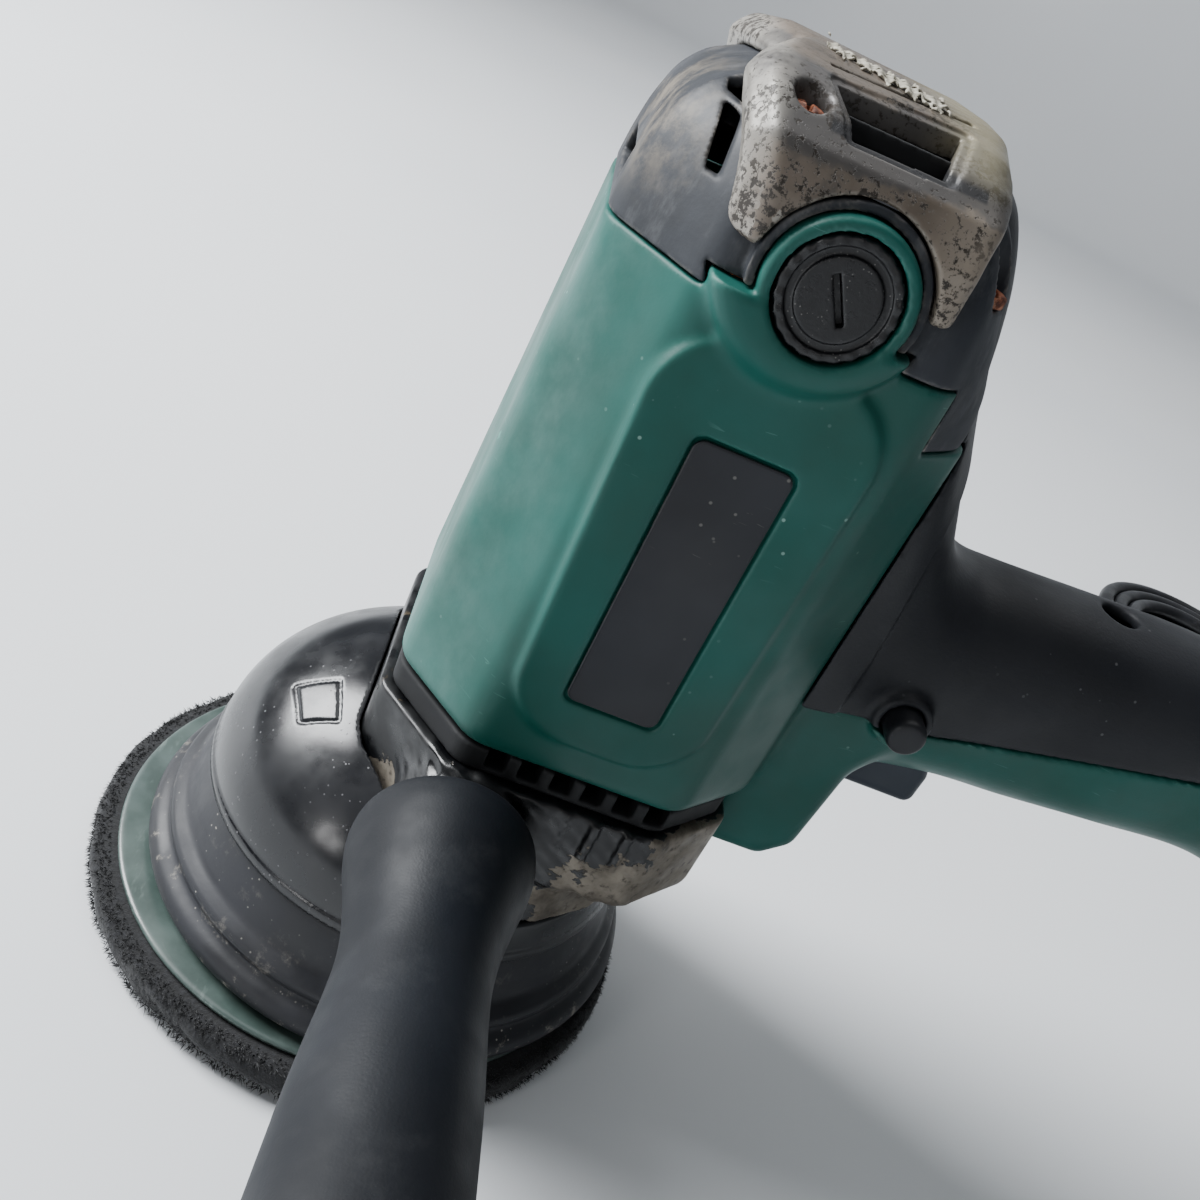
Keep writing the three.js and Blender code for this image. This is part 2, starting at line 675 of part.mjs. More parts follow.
function brushes() {
  for (const [side, name] of [[-1, "front"], [1, "back"]]) {
    const at = (y0, y1) => [Math.min(side * y0, side * y1), Math.max(side * y0, side * y1)];
    const [c0, c1] = at(13.4, 25);
    add(`carbon_brush_${name}`, box(MOTOR_X - 2.8, MOTOR_X + 2.8, c0, c1,
      BRUSH_Z - 4, BRUSH_Z + 4), CARBON);
    const [s0, s1] = at(14.5, 36);
    const sleeve = cut(
      box(MOTOR_X - 4.6, MOTOR_X + 4.6, s0, s1, BRUSH_Z - 5.8, BRUSH_Z + 5.8),
      box(MOTOR_X - 3.1, MOTOR_X + 3.1, s0 - 2, s1 + 2, BRUSH_Z - 4.3, BRUSH_Z + 4.3),
    );
    add(`brush_holder_${name}`, sleeve, BRASS);
    const spring = [];
    for (let i = 0; i <= 40; i++) {
      const angle = (2 * Math.PI * i) / 10;
      spring.push([
        MOTOR_X + 2.1 * Math.cos(angle), side * (26 + i * 0.24), BRUSH_Z + 2.1 * Math.sin(angle),
      ]);
    }
    add(`brush_spring_${name}`, tube(spring, 0.45, 4, 40), STEEL);
    const cap = cut(
      turnedAlongY(
        [[0, 36.4], [9.2, 36.4], [9.2, 43.2], [8.6, 43.8], [6.6, 43.8], [6.2, 43], [0, 43]],
        MOTOR_X,
        BRUSH_Z,
        side,
        28,
      ),
      slotAcross(side),
    );
    add(`brush_cap_${name}`, cap, CARBON);
  }
}

// The cap's screwdriver slot, turned away from upright.
function slotAcross(side) {
  const slot = new THREE.BoxGeometry(1.1, 4, 7.6);
  slot.rotateY(THREE.MathUtils.degToRad(-31.4)).translate(MOTOR_X, side * 43.6, BRUSH_Z);
  return toSolid(slot);
}

// ---- spindle and pad drive ----
function spindleDrive() {
  const carrier = cut(
    turned([
      [0, 30.8], [22, 30.8], [22, 43.2], [8, 43.2], [6, 44.6], [6, 69.6], [5, 69.6],
      [5, 75], [0, 75],
    ], SPINDLE_X, 0, 40),
    disc(11.3, 20, 42.4, 0),
  );
  add("output_spindle", carrier, STEEL);
  const weight = cut(
    ring(22.3, 35, 31.2, 42.8, SPINDLE_X, 48),
    box(-60, SPINDLE_X + 6, -60, 60, 20, 60),
  );
  add("counterweight", weight, STEEL);
  const wheel = gearOutline(SPINDLE_TEETH, GEAR_MODULE, 0.75, -1.1, 0.36);
  add("spindle_gear", cut(gear(wheel, 60.2, 69, SPINDLE_X), disc(6.3, 50, 80, SPINDLE_X)),
    STEEL);
  add("pad_bearing", ring(6.3, 11, 31.2, 42, 0, 24), STEEL);
}

function padDrive() {
  add("pad_shaft", turned([[0, 14.6], [6, 14.6], [6, 41.6], [0, 41.6]], 0, 0, 24), STEEL);
  const planet = gearOutline(PLANET_TEETH, RING_MODULE, 1.05, -1.7, 0.36, 0.5);
  add("planet_gear", cut(gear(planet, 22.2, 28.4, 0), disc(6.3, 10, 40, 0)), STEEL);
  const plate = turned([
    [0, PAD_HEIGHT + GAP], [PLATE_RADIUS, PAD_HEIGHT + GAP], [PLATE_RADIUS, 9.6],
    [30, 10.2], [18, 13], [12, 20.5], [8.4, 20.5], [8.4, 14.3], [0, 14.3],
  ], 0, 0, 48);
  add("backing_plate", plate, PLATE_GREY);
  const pad = turned([
    [0, 0], [56, 0], [60.4, 1.4], [PAD_RADIUS, 4.4], [PAD_RADIUS, 6.8],
    [61.4, PAD_HEIGHT], [0, PAD_HEIGHT],
  ], 0, 0, 48);
  add("hook_pad", pad, FOAM);
}

// ---- switch, cord and plug ----
function controls() {
  const paddle = alongY(rounded([[80.4, 82], [100, 82], [100, 90], [98, 97], [82, 99]], 3),
    -9, 9);
  add("trigger", paddle, DARK);
  const spring = [];
  for (let i = 0; i <= 30; i++) {
    const angle = (2 * Math.PI * i) / 10;
    spring.push([92 + 2.4 * Math.cos(angle), 2.4 * Math.sin(angle), 99.6 + i * 0.2]);
  }
  add("trigger_spring", tube(spring, 0.45, 4, 30), STEEL);
  add("lock_button", turnedAlongY([[0, 15], [3.9, 15], [3.9, 27], [3.2, 28], [0, 28]], 80,
    109, -1, 24), DARK);
  add("switch_body", box(84, 110, -10, 10, 106.8, 128), DARK);
  add("speed_controller", box(128, 176, -11, 11, 106, 124), DARK);
}

const CORD_EXIT_X = HANDLE_END_X - 12 + RELIEF_LENGTH;
const CORD_ROUTE = [
  [CORD_EXIT_X + GAP, 0, CORD_Z], [250, 0, 111.2], [262, 1, 107], [273, 3, 97], [280, 6, 82],
  [284, 10, 63], [287, 16, 43], [291, 26, 24], [297, 40, 10.5], [304, 58, 4.8],
  [313, 82, 4.1], [324, 118, 4.1], [336, 158, 4.1], [350, 200, 4.1], [367, 234, 4.1],
  [386, 255, 4.1],
];
const CORD_TAIL = [[441.5, 340, 9.9], [446.5, 351, 7], [453, 361.5, 4.8], [461, 370, 4.1]];

function powerCord() {
  const start = HANDLE_END_X - 12;
  const profile = [
    [0, start], [6.4, start], [6.4, start + 12.4], [9, start + 12.4], [9, start + 16],
    [7.2, start + 18], [4.9, CORD_EXIT_X], [0, CORD_EXIT_X],
  ].map(([r, x]) => new THREE.Vector2(r, x));
  const relief = new THREE.LatheGeometry(profile, 24);
  add("cord_strain_relief", toSolid(relief.rotateZ(-Math.PI / 2).translate(0, 0, CORD_Z)),
    CORD_BLACK);
  add("power_cord", tube(CORD_ROUTE, CORD_RADIUS, 8, 44), CORD_BLACK);
  const { x, y, inner, outer, height } = COIL;
  const coil = turned(closed([
    [inner + 3, 0.2], [outer - 3, 0.2], [outer, 3], [outer, height - 3], [outer - 3, height],
    [inner + 3, height], [inner, height - 3], [inner, 3],
  ]), x, y, 36);
  add("cord_coil", coil, CORD_BLACK);
  add("cord_tail", tube(CORD_TAIL, CORD_RADIUS, 8, 5), CORD_BLACK);
  plug();
}

// The plug lies flat where the tail ends, pins away from the coil.
function plug() {
  const [from, to] = CORD_TAIL.slice(-2);
  const heading = Math.atan2(to[1] - from[1], to[0] - from[0]);
  const lay = new THREE.Group();
  lay.position.set(to[0], to[1], 8);
  lay.rotation.z = heading;
  const place = (name, solid, material) => {
    const mesh = new THREE.Mesh(toGeometry(solid), material);
    mesh.name = name;
    lay.add(mesh);
  };
  const outline = (half) => rounded([[0.4, -4.5], [12, -half], [30, -half], [30, half],
    [12, half], [0.4, 4.5]], 3);
  const body = stack([-7.4, outline(10)], [4, outline(11)], [8, outline(9)]);
  place("plug_body", cut(body, ...[-6.4, 6.4].map((y) => box(24, 40, y - 1.1, y + 1.1,
    -3.6, 3.6))), CORD_BLACK);
  for (const [side, name] of [[-1, "right"], [1, "left"]]) {
    const y = side * 6.4;
    place(`plug_pin_${name}`, box(24.4, 46, y - 0.75, y + 0.75, -3.2, 3.2), BRASS);
  }
  polisher.add(lay);
}

casings();
gearHead();
stator();
armature();
brushes();
spindleDrive();
padDrive();
controls();
powerCord();

export default polisher;
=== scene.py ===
# Looks of a geared dual action polisher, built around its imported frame.
# Shapes are worked out in millimetres in the frame's own axes and made in metres.
import functools
import math
import random

import bmesh
import bpy
import numpy as np
import openvdb
from mathutils import Matrix, Vector


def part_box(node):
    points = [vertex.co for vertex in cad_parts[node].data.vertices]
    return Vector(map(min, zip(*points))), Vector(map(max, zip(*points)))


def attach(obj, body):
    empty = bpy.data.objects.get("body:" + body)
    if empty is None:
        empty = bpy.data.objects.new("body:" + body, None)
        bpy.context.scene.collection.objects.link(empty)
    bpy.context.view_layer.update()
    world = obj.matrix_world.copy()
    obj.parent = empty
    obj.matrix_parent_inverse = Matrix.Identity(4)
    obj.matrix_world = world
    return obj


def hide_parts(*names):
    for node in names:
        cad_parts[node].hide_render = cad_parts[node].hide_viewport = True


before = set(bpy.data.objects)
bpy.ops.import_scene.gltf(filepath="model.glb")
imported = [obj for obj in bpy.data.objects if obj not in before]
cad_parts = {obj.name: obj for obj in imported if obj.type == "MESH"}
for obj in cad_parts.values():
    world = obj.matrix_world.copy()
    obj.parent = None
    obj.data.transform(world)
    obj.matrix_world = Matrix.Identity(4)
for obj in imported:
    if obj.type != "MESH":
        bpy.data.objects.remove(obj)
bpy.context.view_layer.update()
MM = 0.001
RNG = random.Random(7)


def centre(node):
    """The middle of a CAD node's box, in millimetres."""
    low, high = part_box(node)
    return [(a + b) / 2 / MM for a, b in zip(low, high)]


SPINDLE_X = centre("output_spindle")[0]
MOTOR_X = centre("armature_core")[0]
BRUSH_Z = centre("brush_cap_front")[2]
GRIP_X, _, GRIP_Z = centre("side_handle_grip")
HANDLE_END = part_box("motor_housing")[1].x / MM
RELIEF_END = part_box("cord_strain_relief")[1].x / MM
CORD_Z = centre("cord_strain_relief")[2]
COIL_X, COIL_Y, _ = centre("cord_coil")

# ---- camera ----


def make_camera():
    data = bpy.data.cameras.new("camera")
    data.sensor_width = 36
    data.lens = 36
    data.clip_start = 0.01
    camera = bpy.data.objects.new("camera", data)
    bpy.context.scene.collection.objects.link(camera)
    right = Vector((0.9187, 0.0501, 0.3919)).normalized()
    ahead = Vector((0.1643, 0.8536, -0.4943)).normalized()
    up = right.cross(ahead).normalized()
    right = ahead.cross(up)
    turn = Matrix((right, up, -ahead)).transposed().to_4x4()
    camera.matrix_world = Matrix.Translation(Vector((-19.4, -209.1, 218.2)) * MM) @ turn
    bpy.context.scene.camera = camera


make_camera()

# ---- the mains lead ----
CORD_DIAMETER = 7.6
CORD_ROUTE = [
    (238.3, 0, 112), (250, 0, 111.2), (262, 1, 107), (273, 3, 97), (280, 6, 82), (284, 10, 63),
    (287, 16, 43), (291, 26, 24), (297, 40, 10.5), (304, 58, 4.8), (313, 82, 4.1),
    (324, 118, 4.1), (336, 158, 4.1), (350, 200, 4.1), (367, 234, 4.1), (386, 255, 4.1),
]
CORD_TAIL = [(441.5, 340, 9.9), (446.5, 351, 7), (453, 361.5, 4.8), (461, 370, 4.1)]
COIL_TURNS = 7 + 40 / 360
COIL_START = math.radians(-50)
COIL_RADII = (32.9, 58.3)
COIL_LEVELS = (4.1, 11.8)


def ease(t):
    t = min(max(t, 0), 1)
    return t * t * (3 - 2 * t)


def coil_points():
    """The turns: inwards on the floor, a step up at the middle, and outwards on top of those."""
    inner, outer = COIL_RADII
    low, high = COIL_LEVELS
    cross = 0.5
    run = (COIL_TURNS - cross) / 2
    steps = 24
    points = []
    for i in range(int(COIL_TURNS * steps) + 1):
        turn = i / steps
        if turn < run:
            radius, z = outer + (inner - outer) * turn / run, low
        elif turn < run + cross:
            radius, z = inner, low + (high - low) * ease((turn - run) / cross)
        else:
            radius, z = inner + (outer - inner) * (turn - run - cross) / run, high
        angle = COIL_START + 2 * math.pi * turn
        points.append((COIL_X + radius * math.cos(angle), COIL_Y + radius * math.sin(angle), z))
    return points


def smooth_path(points, spacing):
    """Evenly spaced points along a curve through the given ones."""
    points = np.array(points, float)
    steps = np.linalg.norm(np.diff(points, axis=0), axis=1)
    chord = np.concatenate([[0], np.cumsum(steps**0.5)])
    slopes = np.gradient(points, chord, axis=0)
    fine = []
    for i in range(len(points) - 1):
        span = chord[i + 1] - chord[i]
        for t in np.linspace(0, 1, 12, endpoint=False):
            h = (2 * t**3 - 3 * t**2 + 1, t**3 - 2 * t**2 + t, -2 * t**3 + 3 * t**2, t**3 - t**2)
            fine.append(
                h[0] * points[i] + h[1] * span * slopes[i]
                + h[2] * points[i + 1] + h[3] * span * slopes[i + 1]
            )
    fine.append(points[-1])
    fine = np.array(fine)
    along = np.concatenate([[0], np.cumsum(np.linalg.norm(np.diff(fine, axis=0), axis=1))])
    count = int(round(along[-1] / spacing))
    places = np.linspace(0, along[-1], count + 1)
    return np.stack([np.interp(places, along, fine[:, k]) for k in range(3)], axis=1), along[-1]


CORD_PATH, CORD_MEASURED = smooth_path(CORD_ROUTE + coil_points() + CORD_TAIL, 3.5)

# ---- distance fields: a solid is where its field, in millimetres, is below zero ----


def smax(a, b, k):
    """The larger of two fields, with the crease between them rounded over k."""
    h = np.maximum(k - np.abs(a - b), 0) / k
    return np.maximum(a, b) + h * h * k / 4


def both(a, b, k=None):
    """Where two solids overlap."""
    return np.maximum(a, b) if k is None else smax(a, b, k)


def join(a, b, k=None):
    """Two solids as one."""
    return np.minimum(a, b) if k is None else -smax(-a, -b, k)


def cut(a, b, k=None):
    """The first solid with the second taken away."""
    return both(a, -b, k)


def inset(points, distance):
    """A convex anticlockwise outline moved inwards."""
    lines = []
    for (x, y), (nx, ny) in zip(points, points[1:] + points[:1]):
        length = math.hypot(nx - x, ny - y)
        a, b = (y - ny) / length, (nx - x) / length
        lines.append((a, b, a * x + b * y + distance))
    result = []
    for (c, d, f), (a, b, e) in zip(lines[-1:] + lines[:-1], lines):
        det = a * d - b * c
        result.append(((e * d - b * f) / det, (a * f - c * e) / det))
    return result


def polygon(u, v, points, radius=0.0):
    """Distance to an outline; a convex anticlockwise one may have its corners rounded."""
    if radius:
        points = inset(points, radius)
    best = None
    inside = np.zeros(np.broadcast(u, v).shape, bool)
    for (x0, y0), (x1, y1) in zip(points, points[1:] + points[:1]):
        ex, ey = x1 - x0, y1 - y0
        wu, wv = u - x0, v - y0
        t = np.clip((wu * ex + wv * ey) / (ex * ex + ey * ey), 0, 1)
        gap = (wu - ex * t) ** 2 + (wv - ey * t) ** 2
        best = gap if best is None else np.minimum(best, gap)
        crosses = ((y0 <= v) & (v < y1)) | ((y1 <= v) & (v < y0))
        side = (ex * wv - ey * wu) * (1 if ey > 0 else -1) > 0
        inside ^= crosses & side
    return np.sqrt(best) * np.where(inside, -1, 1) - radius


def union(solids):
    return functools.reduce(np.minimum, solids)


def slab(v, low, high):
    return np.abs(v - (low + high) / 2) - (high - low) / 2


def circle(u, v, cu, cv, radius):
    return np.sqrt((u - cu) ** 2 + (v - cv) ** 2) - radius


def link(name, mesh, body, material, replaced=()):
    piece = bpy.data.objects.new(name, mesh)
    bpy.context.scene.collection.objects.link(piece)
    mesh.materials.append(material)
    mesh.polygons.foreach_set("use_smooth", np.ones(len(mesh.polygons), bool))
    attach(piece, body)
    if replaced:
        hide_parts(*replaced)
    return piece


def mesh_of(name, points, quads):
    """A mesh in metres from points in millimetres, its faces turned outwards."""
    mesh = bpy.data.meshes.new(name)
    corners = points[quads[:, [0, 1, 2]]]
    volume = np.einsum("ij,ij->i", corners[:, 0], np.cross(corners[:, 1], corners[:, 2])).sum()
    if volume < 0:
        quads = quads[:, ::-1]
    mesh.vertices.add(len(points))
    mesh.vertices.foreach_set("co", (points * MM).astype(np.float32).ravel())
    mesh.loops.add(quads.size)
    mesh.loops.foreach_set("vertex_index", quads.astype(np.int32).ravel())
    mesh.polygons.add(len(quads))
    mesh.polygons.foreach_set("loop_start", np.arange(len(quads), dtype=np.int32) * quads.shape[1])
    mesh.update(calc_edges=True)
    mesh.validate()
    return mesh


def carve(name, field, low, high, step, body, material, replaced=()):
    """A piece whose surface is where its field is zero, found on a grid of the given step."""
    axes = [
        np.arange(a - 2.5 * step, b + 3 * step, step, dtype=np.float32) for a, b in zip(low, high)
    ]
    x, y, z = np.meshgrid(*axes, indexing="ij", sparse=True)
    whole = tuple(len(a) for a in axes)
    values = np.array(np.broadcast_to(field(x, y, z), whole), dtype=np.float32, order="C")
    volume = openvdb.FloatGrid(3.0)
    volume.copyFromArray(values)
    points, _, quads = volume.convertToPolygons(isovalue=0.0, adaptivity=0.0)
    points = points * step + np.array([a[0] for a in axes])
    return link(name, mesh_of(name, points, quads), body, material, replaced)


def lathe(name, profile, body, material, replaced=(), axis="Z", at=(0, 0, 0), sides=160,
          smooth=3, ripple=None):
    """A profile of (radius, distance) turned about Z or Y; both its ends lie on the axis."""
    points = np.array(profile, float)
    for _ in range(smooth):
        ends = points[:1], points[-1:]
        quarter = points[:-1] * 0.75 + points[1:] * 0.25
        three = points[:-1] * 0.25 + points[1:] * 0.75
        cut = np.stack([quarter, three], axis=1).reshape(-1, 2)
        points = np.concatenate([ends[0], cut[1:-1], ends[1]])
    radius, along = points[1:-1, 0], points[1:-1, 1]
    angles = np.linspace(0, 2 * math.pi, sides, endpoint=False)
    r = radius[:, None] * np.ones(sides)
    if ripple:
        r = r + ripple(r, along[:, None] + 0 * r, angles[None, :] + 0 * r)
    u, v = r * np.cos(angles), r * np.sin(angles)
    w = along[:, None] + 0 * u
    if axis == "Z":
        ring = np.stack([u, v, w], axis=-1)
        ends = [(0, 0, points[0, 1]), (0, 0, points[-1, 1])]
    else:
        ring = np.stack([u, w, v], axis=-1)
        ends = [(0, points[0, 1], 0), (0, points[-1, 1], 0)]
    rows = len(radius)
    grid = np.concatenate([ring.reshape(-1, 3), np.array(ends, float)]) + np.array(at, float)
    i, j = np.meshgrid(np.arange(rows - 1), np.arange(sides), indexing="ij")
    a, b = i * sides + j, i * sides + (j + 1) % sides
    quads = np.stack([a, b, b + sides, a + sides], axis=-1).reshape(-1, 4)
    mesh = mesh_of(name, grid, quads)
    bm = bmesh.new()
    bm.from_mesh(mesh)
    bm.verts.ensure_lookup_table()
    for row, tip in ((0, rows * sides), (rows - 1, rows * sides + 1)):
        for k in range(sides):
            p, q = bm.verts[row * sides + k], bm.verts[row * sides + (k + 1) % sides]
            bm.faces.new((p, q, bm.verts[tip]))
    bmesh.ops.recalc_face_normals(bm, faces=bm.faces)
    bm.to_mesh(mesh)
    bm.free()
    return link(name, mesh, body, material, replaced)


# ---- materials ----


class Paint:
    """A node material built step by step; values are sockets or plain numbers."""

    def __init__(self, name):
        self.material = bpy.data.materials.new(name)
        self.material.use_nodes = True
        self.tree = self.material.node_tree
        self.shader = self.tree.nodes["Principled BSDF"]
        self.place = self.tree.nodes.new("ShaderNodeTexCoord").outputs["Object"]
        self.height = None

    def node(self, kind, values=(), **settings):
        made = self.tree.nodes.new(kind)
        for key, value in settings.items():
            setattr(made, key, value)
        for key, value in dict(values).items():
            socket = made.inputs[key]
            if isinstance(value, bpy.types.NodeSocket):
                self.tree.links.new(value, socket)
            else:
                socket.default_value = value
        return made

    def stretched(self, scale=(1, 1, 1), turn=(0, 0, 0)):
        mapping = {"Vector": self.place, "Scale": scale, "Rotation": turn}
        return self.node("ShaderNodeMapping", mapping).outputs["Vector"]

    def noise(self, scale, detail=3.0, rough=0.55, vector=None, distortion=0.0):
        values = {
            "Vector": vector or self.place, "Scale": scale, "Detail": detail,
            "Roughness": rough, "Distortion": distortion,
        }
        return self.node("ShaderNodeTexNoise", values).outputs["Fac"]

    def dots(self, scale, feature="F1"):
        values = {"Vector": self.place, "Scale": scale}
        return self.node("ShaderNodeTexVoronoi", values, feature=feature).outputs["Distance"]

    def ramp(self, value, low, high, out=(0.0, 1.0)):
        values = {"Value": value, "From Min": low, "From Max": high, "To Min": out[0],
                  "To Max": out[1]}
        made = self.node("ShaderNodeMapRange", values, interpolation_type="SMOOTHSTEP")
        return made.outputs["Result"]

    def sum(self, a, b, operation="ADD"):
        return self.node("ShaderNodeMath", {0: a, 1: b}, operation=operation).outputs[0]

    def times(self, a, b):
        return self.sum(a, b, "MULTIPLY")

    def most(self, a, b):
        return self.sum(a, b, "MAXIMUM")

    def mix(self, factor, a, b):
        made = self.node("ShaderNodeMix", {"Factor": factor}, data_type="RGBA")
        for index, value in ((6, a), (7, b)):
            if isinstance(value, bpy.types.NodeSocket):
                self.tree.links.new(value, made.inputs[index])
            else:
                made.inputs[index].default_value = (*value, 1)
        return made.outputs[2]

    def patches(self, low, high, *noise, out=(0.0, 1.0)):
        """A mask or a value from noise: its first number is below low, its second above high."""
        return self.ramp(self.noise(*noise), low, high, out)

    def mottled(self, base, shade, low, high, *noise):
        return self.mix(self.patches(low, high, *noise), linear(base), linear(shade))

    def coat(self, colour, over, mask, amount):
        """The colour with another laid over it where the mask is."""
        return self.mix(self.times(mask, amount), colour, linear(over))

    def edges(self, low=0.52, high=0.6):
        """1 on ridges, where use rubs a surface."""
        point = self.node("ShaderNodeNewGeometry").outputs["Pointiness"]
        return self.ramp(point, low, high)

    def axis(self, which, low, high):
        """0 to 1 as a coordinate goes from low to high, in millimetres."""
        split = self.node("ShaderNodeSeparateXYZ", {"Vector": self.place})
        return self.ramp(split.outputs[which], low * MM, high * MM)

    def facing(self, which, low, high):
        """0 to 1 as the surface turns along an axis of the tool."""
        normal = self.node("ShaderNodeNewGeometry").outputs["Normal"]
        split = self.node("ShaderNodeSeparateXYZ", {"Vector": normal})
        return self.ramp(split.outputs[which], low, high)

    def bump(self, height, distance, strength=1.0):
        """Adds relief; distance is in millimetres."""
        values = {"Height": height, "Distance": distance * MM, "Strength": strength}
        if self.height is not None:
            values["Normal"] = self.height
        self.height = self.node("ShaderNodeBump", values).outputs["Normal"]

    def done(self, colour, roughness, metallic=0.0, **fixed):
        for key, value in (("Base Color", colour), ("Roughness", roughness),
                           ("Metallic", metallic)):
            socket = self.shader.inputs[key]
            if isinstance(value, bpy.types.NodeSocket):
                self.tree.links.new(value, socket)
            elif key == "Base Color":
                socket.default_value = (*value, 1)
            else:
                socket.default_value = value
        for key, value in fixed.items():
            self.shader.inputs[key.replace("_", " ")].default_value = value
        if self.height is not None:
            self.tree.links.new(self.height, self.shader.inputs["Normal"])
        return self.material


def linear(code):
    """A colour written as #rrggbb, as linear values."""
    parts = [int(code[i : i + 2], 16) / 255 for i in (1, 3, 5)]
    return tuple(c / 12.92 if c <= 0.04045 else ((c + 0.055) / 1.055) ** 2.4 for c in parts)


def moulded(name, base, shade, worn, rough=0.5, grain=1500, relief=0.03, edge=0.7, dust=None,
            specks=0.5, frost=None):
    """Moulded plastic: fine texture, blotches, pale rubbed edges, scratches and dust specks."""
    p = Paint(name)
    blotch = p.patches(0.35, 0.7, 28, 4)
    colour = p.mix(blotch, linear(base), linear(shade))
    if frost:
        colour = frost(p, colour)
    ragged = p.noise(180, 5, 0.7)
    rub = p.times(p.edges(), p.ramp(ragged, 0.38, 0.62))
    colour = p.coat(colour, worn, rub, edge)
    lines = p.noise(150, 2, 0.5, p.stretched((1, 1, 9), (0.4, 0.7, 0.2)), 0.4)
    scratch = p.times(p.ramp(lines, 0.70, 0.712), p.patches(0.55, 0.66, 35, 1))
    colour = p.coat(colour, worn, scratch, 0.18)
    dot = p.ramp(p.dots(260), 0.10, 0.055)
    dot = p.times(dot, p.patches(0.52, 0.62, 22, 1))
    colour = p.coat(colour, dust or worn, dot, specks)
    gloss = p.patches(0.3, 0.7, 45, 3, out=(rough - 0.07, rough + 0.1))
    gloss = p.sum(gloss, p.times(rub, 0.15))
    p.bump(p.noise(grain, 2, 0.6), relief, 0.7)
    p.bump(p.noise(90, 2), 0.05, 0.25)
    return p.done(colour, gloss, Specular_IOR_Level=0.36)


def green_frost(p, colour):
    """A milky bloom in clouds on the shell's left and upper left, a paler teal low on its left,
    and a faint haze all over.
    """
    left = p.axis("X", 7, -9)
    cloud = p.patches(0.34, 0.64, 42, 5, 0.65)
    streak = p.ramp(p.noise(120, 4, 0.7, p.stretched((1, 1, 0.35))), 0.4, 0.75)
    bloom = p.times(p.times(left, cloud), p.sum(p.times(streak, 0.5), 0.5))
    colour = p.coat(colour, "#66827D", bloom, 0.34)
    low = p.times(p.axis("Z", 112, 84), p.times(p.axis("X", 4, -12), 0.2))
    colour = p.mix(low, colour, linear("#4F8880"))
    haze = p.times(p.patches(0.45, 0.75, 16, 5, 0.6), 0.08)
    return p.mix(haze, colour, linear("#3F8377"))


def metal(name, base, shade, rough=0.35):
    """Bare metal with a fine uneven tarnish."""
    p = Paint(name)
    streak = p.noise(700, 4, 0.6)
    colour = p.mottled(base, shade, 0.35, 0.7, 60, 4)
    colour = p.coat(colour, shade, p.ramp(streak, 0.45, 0.7), 0.3)
    p.bump(streak, 0.015, 0.5)
    gloss = p.patches(0.3, 0.7, 110, 3, out=(rough - 0.08, rough + 0.14))
    return p.done(colour, gloss, 1.0)


def rust():
    """Flaking rust over the head of a steel screw."""
    p = Paint("rust")
    patch = p.patches(0.4, 0.62, 420, 5, 0.7)
    colour = p.mix(patch, linear("#4A2A20"), linear("#9C5A3C"))
    flake = p.patches(0.5, 0.65, 900, 4, 0.7)
    colour = p.coat(colour, "#B9876A", flake, 0.6)
    p.bump(p.noise(1100, 5, 0.7), 0.12, 0.9)
    return p.done(colour, 0.82, 0.15)


def chipped_black():
    """Black paint on cast aluminium, chipped down to the metal near the lower right edges."""
    p = Paint("chipped_black")
    wide = p.noise(38, 5, 0.62, distortion=0.6)
    fine = p.noise(230, 5, 0.7)
    where = p.sum(p.times(p.axis("X", 20, 52), 0.24), p.times(p.axis("Z", 74, 56), 0.16))
    where = p.sum(where, p.times(p.facing("Y", 0.2, -0.6), 0.08))
    chip = p.ramp(p.sum(p.sum(wide, where), p.times(fine, 0.14)), 0.80, 0.81)
    edge = p.times(p.edges(0.53, 0.58), p.ramp(fine, 0.5, 0.62))
    chip = p.most(chip, p.times(edge, 0.9))
    bare = p.mottled("#7E776C", "#544E46", 0.35, 0.7, 90, 5, 0.7)
    bare = p.mix(p.patches(0.55, 0.7, 520, 4), bare, linear("#4D4740"))
    paint = p.mottled("#08090B", "#17181B", 0.4, 0.7, 70, 4)
    grime = p.patches(0.62, 0.72, 130, 5, 0.75)
    paint = p.mix(p.times(grime, 0.35), paint, linear("#7A6A50"))
    gloss = p.patches(0.35, 0.65, 150, 4, out=(0.22, 0.5))
    gloss = p.sum(p.times(chip, 0.18), gloss)
    p.bump(p.times(chip, -1.0), 0.25, 0.8)
    p.bump(p.noise(330, 4, 0.65), 0.10, 0.6)
    return p.done(p.mix(chip, paint, bare), gloss, p.times(chip, 0.75))


def worn_cover():
    """Dark plastic rubbed grey and dusty, with pale scuffs on its left shoulder."""
    p = Paint("worn_cover")
    blotch = p.patches(0.35, 0.68, 48, 5, 0.65)
    colour = p.mix(blotch, linear("#1B1E23"), linear("#2A2D33"))
    shoulder = p.times(p.axis("X", 4, -9), p.axis("Z", 176, 190))
    scuff = p.patches(0.42, 0.62, 75, 6, 0.72)
    colour = p.coat(colour, "#7F7668", p.times(shoulder, scuff), 0.7)
    smear = p.ramp(p.noise(160, 5, 0.7, p.stretched((1, 1, 0.4))), 0.5, 0.7)
    colour = p.coat(colour, "#66676A", smear, 0.25)
    rub = p.times(p.edges(), p.patches(0.4, 0.6, 240, 4))
    colour = p.coat(colour, "#A6A098", rub, 0.6)
    p.bump(p.noise(1500, 2, 0.6), 0.03, 0.7)
    gloss = p.patches(0.3, 0.7, 60, 4, out=(0.5, 0.68))
    return p.done(colour, gloss, Specular_IOR_Level=0.36)


